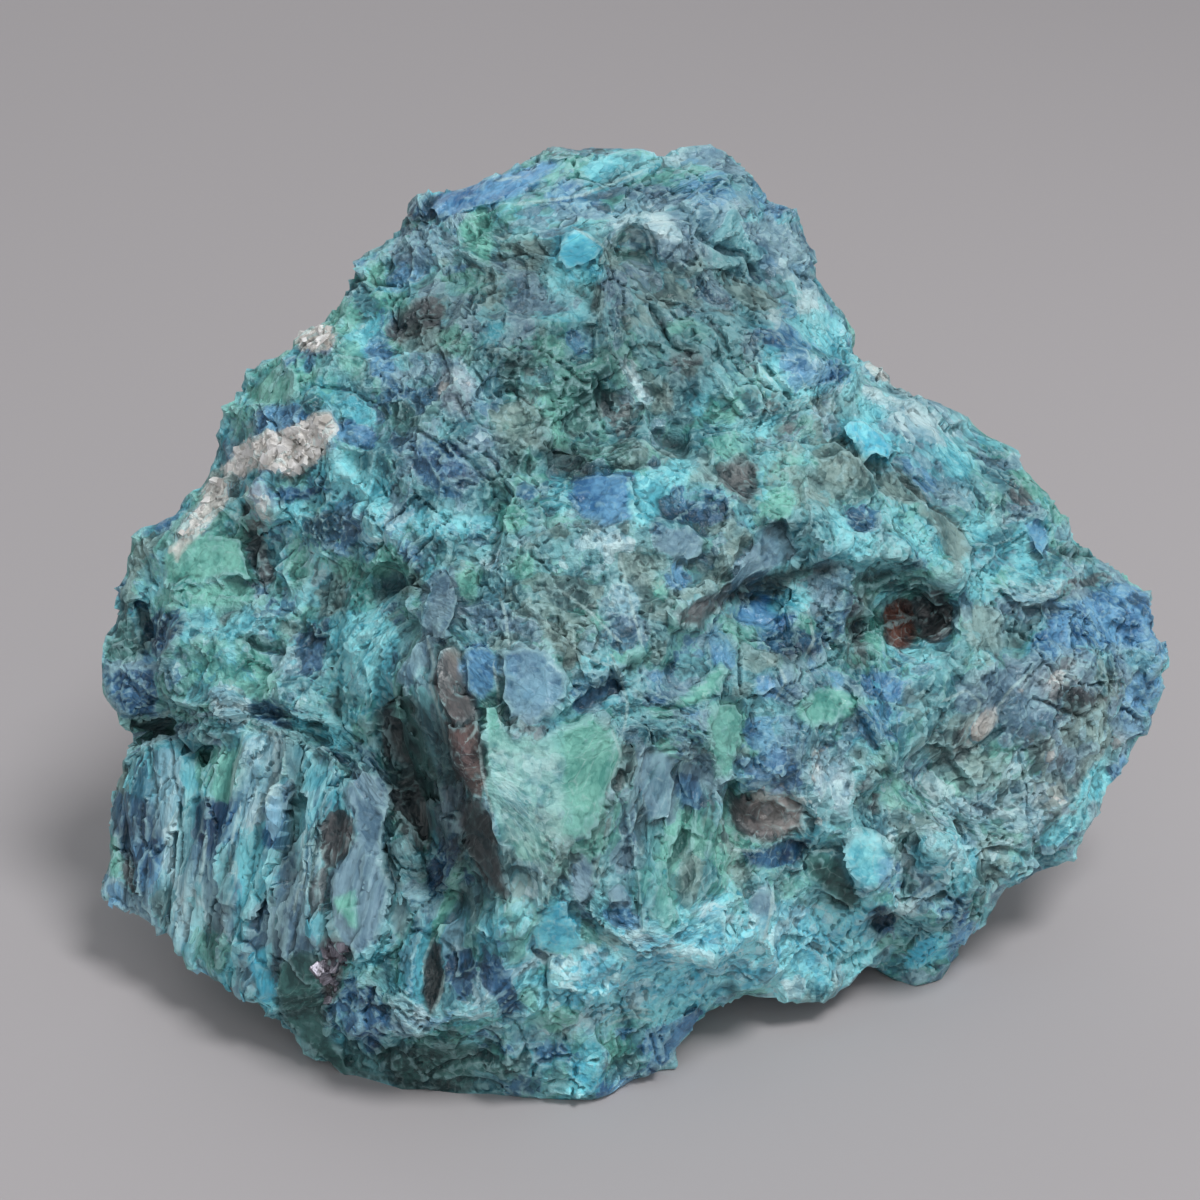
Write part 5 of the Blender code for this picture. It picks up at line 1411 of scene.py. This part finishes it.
def stone_material():
    """Drifts and chips of the stone's minerals, with their gloss and veins, painted highlights on crests and
    rims, and painted shade in hollows, cracks and near-black places.
    """
    wire = Finish("chrysocolla")
    place = wire.stored("grain", "Vector")
    speckled, veined, mottled = wire.apart(wire.stored("drifts"))
    narrow, wide, calm = wire.apart(wire.stored("relief"))
    rugged = wire.ramp("rugged", calm)
    big_chance, big_level, cloud = wire.apart(wire.stored("chips"))
    fine = wire.noise(place, FINE_GRAIN, FINE_DETAIL)
    small_chance, small_level = wire.chips(place, SMALL_CHIP)
    small_chance = wire.apart(small_chance)
    # Ledge: the height across each tilted chip, used below to paint light and shade on the chips' faces and
    # edges
    ledge = wire.ramp("ledge of big chips", big_level)
    ledge = wire.times(wire.ramp("ledge of small chips", small_level, ledge), rugged)

    # Between each mineral's darker and lighter tone: random grain, cloud, mottling and chip chance, and
    # painted shading from the ledge
    light = wire.ramp("light of the grain", fine)
    light = wire.ramp("light of the cloud", cloud, light)
    light = wire.ramp("mottled light", mottled, light)
    light = wire.ramp("light of a chip", small_chance[1], light)
    light = wire.ramp("light of a ledge", ledge, light, clamp=True)

    # Which mineral a chip is made of, over the mean tones of its surroundings
    pick = wire.ramp("pick", wire.between(speckled, big_chance, small_chance[0]))
    pick = wire.ramp("grain of the pick", fine, pick)
    colour, rough = mineral_of_a_chip(wire, pick, light)
    rough = wire.between(wire.ramp("glint", small_chance[2], clamp=True), rough, GLINT_GLOSS)
    mean = wire.blend(light, *(wire.stored(layer) for layer in TONE_LAYERS))
    colour = wire.blend(wire.times(rugged, CHIP_SHARE), mean, colour)

    # Pale veins, and painted highlights along rims and edges
    dark, signed, close = wire.apart(wire.stored("marks"))
    away = wire.sum("ABSOLUTE", wire.ramp("place beside a line", signed))
    line = wire.times(wire.ramp("line", away, clamp=True), close)
    line = wire.times(line, wire.ramp("gaps in a line", fine, clamp=True))
    hair = wire.put("ShaderNodeTexVoronoi", {"Vector": place, "Scale": 1.0 / HAIRLINE_NET}, "Distance",
                    feature="DISTANCE_TO_EDGE")
    hair = wire.ramp("hairline", hair, clamp=True)
    hair = wire.times(hair, wire.ramp("gaps in a hairline", fine, clamp=True))
    vein = wire.times(wire.times(hair, veined), VEIN_AND_RIM_HIGHLIGHT_SHARE)
    colour = wire.blend(wire.times(wire.sum("MAXIMUM", line, vein), VEIN_AND_RIM_HIGHLIGHT_SHARE), colour, tone(*VEIN_AND_RIM_HIGHLIGHT_TONE))

    # Painted highlights make crests and chip tops paler; painted shade darkens hollows, chip feet and cracks
    crest = wire.ramp("crest of a ledge", ledge, wire.ramp("crest", narrow), clamp=True)
    colour = wire.blend(wire.times(crest, CREST_HIGHLIGHT_SHARE), colour, tone(*CREST_HIGHLIGHT_TONE))
    hollow = wire.ramp("foot of a ledge", ledge, wire.ramp("hollow", narrow), clamp=True)
    hollow = wire.sum("MAXIMUM", hollow, wire.ramp("wide hollow", wide, clamp=True))
    crack = wire.ramp("crack", veined, clamp=True)
    hollow = wire.sum("MAXIMUM", hollow, wire.times(crack, hair))
    colour = wire.blend(wire.times(hollow, HOLLOW_SHADE_SHARE), colour, tone(*HOLLOW_SHADE_TONE))
    # Painted shade, with a few dark mineral spots: the near-black places, broken up by the fine grain
    dark = wire.times(dark, wire.ramp("gaps in the dark", fine, clamp=True))
    colour = wire.blend(dark, colour, tone(*SHADE_AND_SPOT_BLACK))
    height = wire.ramp("bump of small chips", small_level, fine)
    return wire.finish(colour, rough, wire.times(height, rugged), *STONE_BUMP)


# Splinters that stick out of the broken skin
SPLINTERS = 600
SPLINTER_SEED = 5
SPLINTER_SIZE = (0.25, 0.7)
SPLINTER_LEAN = 0.3
SPLINTER_BREADTH = (0.5, 1.0)
SPLINTER_FLATNESS = 0.36
MORE_SHORT_ONES = 1.3
LESS_SPIN_IN_FLUTES = 3
FEWER_ON_FACES = 0.93
WISH_HALFWAY = 0.6
MORE_ON_CRESTS = 1.2
WISH_RANGE = (0.15, 1.5)
FREE_OF_GROUND = 3.0
LONGER_IN_FLUTES = 1.4

# Blocks that splinters, grains and crystals are made of
BLOCK_SHAPES = 7
BLOCK_CUTS = 5
BLOCK_CUT_AT = (0.55, 0.85)
BLOCK_LEAN = 0.4
SUNK = 0.25
CALMED_NORMALS = 6
# How much paler each block's top and darker its foot are painted, and the least wide relief, which keeps
# painted hollow shade off the blocks
BLOCK_TOP_LIGHT_AND_FOOT_SHADE = 0.07
LEAST_WIDE_RELIEF = 0.45
ALONG_THE_FLUTES = -0.16


def angular_blocks(count, cuts, seed):
    """Corners and faces of small blocks, each cut from a cube by planes that break its corners off."""
    dice = np.random.default_rng(seed)
    shapes = []
    for _ in range(count):
        deselect()
        bpy.ops.mesh.primitive_cube_add(size=2.0)
        block = bpy.context.active_object
        bpy.ops.object.mode_set(mode="EDIT")
        for _ in range(cuts):
            lean = dice.normal(size=3)
            lean /= np.linalg.norm(lean)
            bpy.ops.mesh.select_all(action="SELECT")
            bpy.ops.mesh.bisect(plane_co=lean * dice.uniform(*BLOCK_CUT_AT), plane_no=lean, use_fill=True,
                                clear_outer=True)
        bpy.ops.mesh.select_all(action="SELECT")
        bpy.ops.mesh.quads_convert_to_tris()
        bpy.ops.object.mode_set(mode="OBJECT")
        corners = np.array([corner.co[:] for corner in block.data.vertices])
        faces = np.array([face.vertices[:] for face in block.data.polygons])
        shapes.append((corners, faces))
        bpy.data.objects.remove(block)
    return shapes


def frames(normals, lean, spin, dice):
    """Three directions for each splinter: along the grain, across it, and out of the skin."""
    along = np.tile([ALONG_THE_FLUTES, -math.sin(EYE_TILT), -math.cos(EYE_TILT)], (len(normals), 1))
    out = unit(normals + dice.normal(scale=lean, size=normals.shape))
    along = unit(along - (along * out).sum(1)[:, None] * out)
    side = np.cross(out, along)
    turn = dice.uniform(-1.0, 1.0, len(normals))[:, None] * spin[:, None]
    return along * np.cos(turn) + side * np.sin(turn), side * np.cos(turn) - along * np.sin(turn), out


def scatter(name, stone, spots, sizes, shapes, lean, spin, dice):
    """One piece of many small blocks that sit half sunk in the stone's skin at the given vertices."""
    mesh = stone.data
    points = vertex_places(mesh)[spots]
    normals = unit(neighbour_mean(mesh, vertex_normals(mesh), CALMED_NORMALS)[spots])
    along, side, out = frames(normals, lean, spin, dice)
    kinds = dice.integers(0, len(shapes), len(spots))
    corners, faces, owner, level = [], [], [], []
    total = 0
    for number, (place, size, kind) in enumerate(zip(points, sizes, kinds)):
        block, sides = shapes[kind]
        local = block * size
        turned = local @ np.stack([along[number], side[number], out[number]])
        corners.append(place - out[number] * SUNK * size[2] + turned)
        faces.append(sides + total)
        owner.append(np.full(len(block), number))
        level.append(block[:, 2])
        total += len(block)
    corners = inside_box(np.concatenate(corners))
    faces = np.concatenate(faces)
    owner = np.concatenate(owner)
    level = np.concatenate(level)
    piece_mesh = bpy.data.meshes.new(name)
    piece_mesh.from_pydata((corners * MM).tolist(), [], faces.tolist())
    piece = bpy.data.objects.new(name, piece_mesh)
    bpy.context.scene.collection.objects.link(piece)
    rows = spots[owner]
    shift = read(mesh.attributes["grain"].data, "vector", 3) - drawn_out(*seen(vertex_places(mesh)))
    keep_vector(piece_mesh, "grain", drawn_out(*seen(corners)) + shift[rows])
    for layer in (*BOUND_LAYERS, *TONE_LAYERS, "marks", "drifts", "chips"):
        keep_colour(piece_mesh, layer, colours(mesh, layer)[rows])
    # Painted highlight on each block's top and painted shade at its foot
    relief = colours(mesh, "relief")[rows, :3]
    relief[:, 0] = 0.5 + BLOCK_TOP_LIGHT_AND_FOOT_SHADE * level
    relief[:, 1] = np.maximum(relief[:, 1], LEAST_WIDE_RELIEF)
    keep_colour(piece_mesh, "relief", relief)
    return piece


def splinters(stone):
    """Splinters all over the skin, fewer on the smooth faces and where near-black shade is painted."""
    dice = np.random.default_rng(SPLINTER_SEED)
    relief = colours(stone.data, "relief")
    marks = colours(stone.data, "marks")
    heights = vertex_places(stone.data)[:, 2]
    wish = (1.0 - FEWER_ON_FACES * relief[:, 2]) * (1.0 - marks[:, 0]) * (heights > FREE_OF_GROUND)
    wish *= np.clip(WISH_HALFWAY + MORE_ON_CRESTS * (relief[:, 1] - 0.5), *WISH_RANGE)
    spots = dice.choice(len(wish), SPLINTERS, replace=False, p=wish / wish.sum())
    across, down, _ = seen(vertex_places(stone.data)[spots])
    grain = 1.0 + LONGER_IN_FLUTES * flute_share(across, down)
    length = dice.uniform(*SPLINTER_SIZE, len(spots)) ** MORE_SHORT_ONES
    breadth = length * dice.uniform(*SPLINTER_BREADTH, len(spots))
    sizes = np.stack([length * grain, breadth, length * SPLINTER_FLATNESS], 1)
    shapes = angular_blocks(BLOCK_SHAPES, BLOCK_CUTS, SPLINTER_SEED)
    spin = math.pi / grain ** LESS_SPIN_IN_FLUTES
    return scatter("splinters", stone, spots, sizes, shapes, SPLINTER_LEAN, spin, dice)


def flute_share(across, down):
    """How far spots lie in the fluted part of the front."""
    return smooth(0.5 + within(across, down, GRAINS["flutes"][0]) / GRAIN_FADE)


# Quartz grains on the pale shelf and the pale edges
QUARTZ = 150
QUARTZ_SEED = 6
QUARTZ_SIZE = (0.35, 1.1)
QUARTZ_FORM = np.array([1.0, 0.85, 0.4])
MOSTLY_CREAM = 0.75
QUARTZ_CLOUD = 2.4
QUARTZ_GRAIN = 0.5
QUARTZ_STAIN = (5.0, 2.0)
QUARTZ_TONES = ((172, 168, 162), (236, 235, 232))
STAIN_TONE = (150, 136, 126)
STAIN_SHARE = 0.2
QUARTZ_BUMP = (0.5, 0.3)


def quartz_grains(stone):
    """Sugary quartz grains where the skin is mostly cream."""
    dice = np.random.default_rng(QUARTZ_SEED)
    bounds = colours(stone.data, "bounds_3")
    wish = np.clip(1.0 - bounds[:, 2] - MOSTLY_CREAM, 0.0, 1.0)
    spots = dice.choice(len(wish), min(QUARTZ, int((wish > 0).sum())), replace=False, p=wish / wish.sum())
    length = dice.uniform(*QUARTZ_SIZE, len(spots))
    shapes = angular_blocks(BLOCK_SHAPES, BLOCK_CUTS + 2, QUARTZ_SEED)
    return scatter("quartz_grains", stone, spots, np.outer(length, QUARTZ_FORM), shapes, BLOCK_LEAN,
                   np.full(len(spots), math.pi), dice)


# Dark crystal with bright faces low on the left
CRYSTAL_BLOCKS = 34
CRYSTAL_SEED = 8
CRYSTAL_SIZE = (0.5, 1.3)
CRYSTAL_FORM = np.array([1.0, 0.8, 0.6])
CRYSTAL_FACING = 0.2
CRYSTAL_CLOUD = 1.2
CRYSTAL_GRAIN = 0.4
CRYSTAL_TONES = ((52, 48, 54), (150, 148, 160))
CRYSTAL_METAL = 0.5
CRYSTAL_BUMP = (0.6, 0.3)


def dark_crystal(stone):
    """A cluster of dark, shiny crystal faces."""
    dice = np.random.default_rng(CRYSTAL_SEED)
    points = vertex_places(stone.data)
    across, down, _ = seen(points)
    inside = within(across, down, PATCHES["dark crystal"][2:])
    front = facing(points, vertex_normals(stone.data)) > CRYSTAL_FACING
    spots = dice.choice(np.nonzero((inside > 1.0) & front)[0], CRYSTAL_BLOCKS, replace=False)
    length = dice.uniform(*CRYSTAL_SIZE, len(spots))
    shapes = angular_blocks(BLOCK_SHAPES, BLOCK_CUTS, CRYSTAL_SEED)
    return scatter("dark_crystal", stone, spots, np.outer(length, CRYSTAL_FORM), shapes, BLOCK_LEAN,
                   np.full(len(spots), math.pi), dice)


# Cloudy mineral, which the quartz and the dark crystal share: its inputs and outputs, and its detail
CLOUDY_INPUTS = {"Place": "Vector", "Cloud Scale": "Float", "Grain Scale": "Float", "Dark": "Color",
                 "Light": "Color"}
CLOUDY_OUTPUTS = {"Colour": "Color", "Cloud": "Float", "Height": "Float"}
CLOUDY_DETAIL = 3.0


def cloudy_group():
    """Group that fades one tone into another by a cloud, and gives the cloud and the fine grain as well."""
    group = bpy.data.node_groups.new("cloudy mineral", "ShaderNodeTree")
    for side, sockets in (("INPUT", CLOUDY_INPUTS), ("OUTPUT", CLOUDY_OUTPUTS)):
        for name, kind in sockets.items():
            group.interface.new_socket(name, in_out=side, socket_type="NodeSocket" + kind)
    wire = Wiring(group)
    given = wire.put("NodeGroupInput", {}).node.outputs
    cloud, grain = (wire.put("ShaderNodeTexNoise", {"Vector": given["Place"], "Scale": given[scale],
                                                    "Detail": CLOUDY_DETAIL}, "Fac")
                    for scale in ("Cloud Scale", "Grain Scale"))
    cloud = wire.ramp("cloud", cloud, clamp=True)
    colour = wire.blend(cloud, given["Dark"], given["Light"])
    result = group.nodes.new("NodeGroupOutput")
    for name, output in zip(CLOUDY_OUTPUTS, (colour, cloud, grain)):
        group.links.new(output, result.inputs[name])
    return group


def cloudy(wire, place, group, cloud_size, grain_size, tones):
    """The group placed in a material, with the sizes of its cloud and grain in mm and its two tones."""
    dark, light = (tone(*shade) for shade in tones)
    values = {"Place": place, "Cloud Scale": 1.0 / cloud_size, "Grain Scale": 1.0 / grain_size,
              "Dark": dark, "Light": light}
    return wire.put("ShaderNodeGroup", values, node_tree=group).node.outputs[:3]


def quartz_material(group):
    """Cloudy quartz: cream to pinkish white, with a waxy gloss."""
    wire = Finish("quartz")
    place = wire.stored("grain", "Vector")
    colour, cloud, height = cloudy(wire, place, group, QUARTZ_CLOUD, QUARTZ_GRAIN, QUARTZ_TONES)
    stain = wire.ramp("stain", wire.noise(place, *QUARTZ_STAIN), clamp=True)
    colour = wire.blend(wire.times(stain, STAIN_SHARE), colour, tone(*STAIN_TONE))
    return wire.finish(colour, wire.ramp("gloss of quartz", cloud), height, *QUARTZ_BUMP)


def crystal_material(group):
    """Dark brown crystal whose faces flash."""
    wire = Finish("dark crystal")
    place = wire.stored("grain", "Vector")
    colour, cloud, height = cloudy(wire, place, group, CRYSTAL_CLOUD, CRYSTAL_GRAIN, CRYSTAL_TONES)
    wire.shader.inputs["Metallic"].default_value = CRYSTAL_METAL
    return wire.finish(colour, wire.ramp("gloss of crystal", cloud), height, *CRYSTAL_BUMP)


# The stage: each lamp's place and size in metres and its power in watts
LAMPS = {
    "key": ((0.45, -0.42, 1.25), 0.5, 11.0),
    "fill": ((0.1, -1.3, 0.6), 1.6, 5.0),
    "back": ((-0.5, 1.2, 0.8), 1.2, 3.0),
}
LAMPS_AIM = Vector((0.0, 0.0, 0.05))
FLOOR_SIZE = 12.0
FLOOR_TONE = (168, 164, 166)
FLOOR_GLOSS = 0.9
FLOOR_SHINE = 0.1
SKY_TINT = (0.96, 0.98, 1.0, 1.0)
SKY_STRENGTH = 0.32


def hung(name, data, place, aim):
    """A lamp or camera at a place, turned toward its aim."""
    holder = bpy.data.objects.new(name, data)
    holder.location = place
    holder.rotation_euler = (aim - holder.location).to_track_quat("-Z", "Y").to_euler()
    bpy.context.scene.collection.objects.link(holder)
    return holder


def stage():
    """A plain pale floor, soft lamps above, in front and behind, and the camera."""
    bpy.ops.mesh.primitive_plane_add(size=FLOOR_SIZE, location=(0.0, 0.0, 0.0))
    floor = bpy.context.active_object
    floor.name = "floor"
    paint = bpy.data.materials.new("floor")
    paint.use_nodes = True
    shader = paint.node_tree.nodes["Principled BSDF"]
    shader.inputs["Base Color"].default_value = tone(*FLOOR_TONE)
    shader.inputs["Roughness"].default_value = FLOOR_GLOSS
    shader.inputs["Specular IOR Level"].default_value = FLOOR_SHINE
    floor.data.materials.append(paint)
    for name, (place, size, power) in LAMPS.items():
        lamp = bpy.data.lights.new(name, "AREA")
        lamp.shape = "DISK"
        lamp.size = size
        lamp.energy = power
        hung(name, lamp, place, LAMPS_AIM)
    world = bpy.data.worlds.new("studio")
    world.use_nodes = True
    sky = world.node_tree.nodes["Background"]
    sky.inputs["Color"].default_value = SKY_TINT
    sky.inputs["Strength"].default_value = SKY_STRENGTH
    bpy.context.scene.world = world
    camera = bpy.data.cameras.new("camera")
    camera.sensor_width = SENSOR_MM
    camera.lens = SENSOR_MM * EYE_DISTANCE / (PICTURE * MM_PER_PIXEL)
    eye, aim = eye_place()
    bpy.context.scene.camera = hung("camera", camera, eye, aim)
    bpy.context.scene.view_settings.view_transform = "Standard"


stone = stone_copy()
fracture(stone)
thin_out(stone)
make_active(stone)
bpy.ops.object.shade_smooth_by_angle(angle=CREASE_ANGLE)
stone_finish = stone_material()
stone.data.materials.append(stone_finish)
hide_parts("stone")
group = cloudy_group()
additions = {splinters(stone): stone_finish, quartz_grains(stone): quartz_material(group),
             dark_crystal(stone): crystal_material(group)}
for piece, finish in additions.items():
    piece.data.materials.append(finish)
for piece in (stone, *additions):
    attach(piece, "root")
stage()
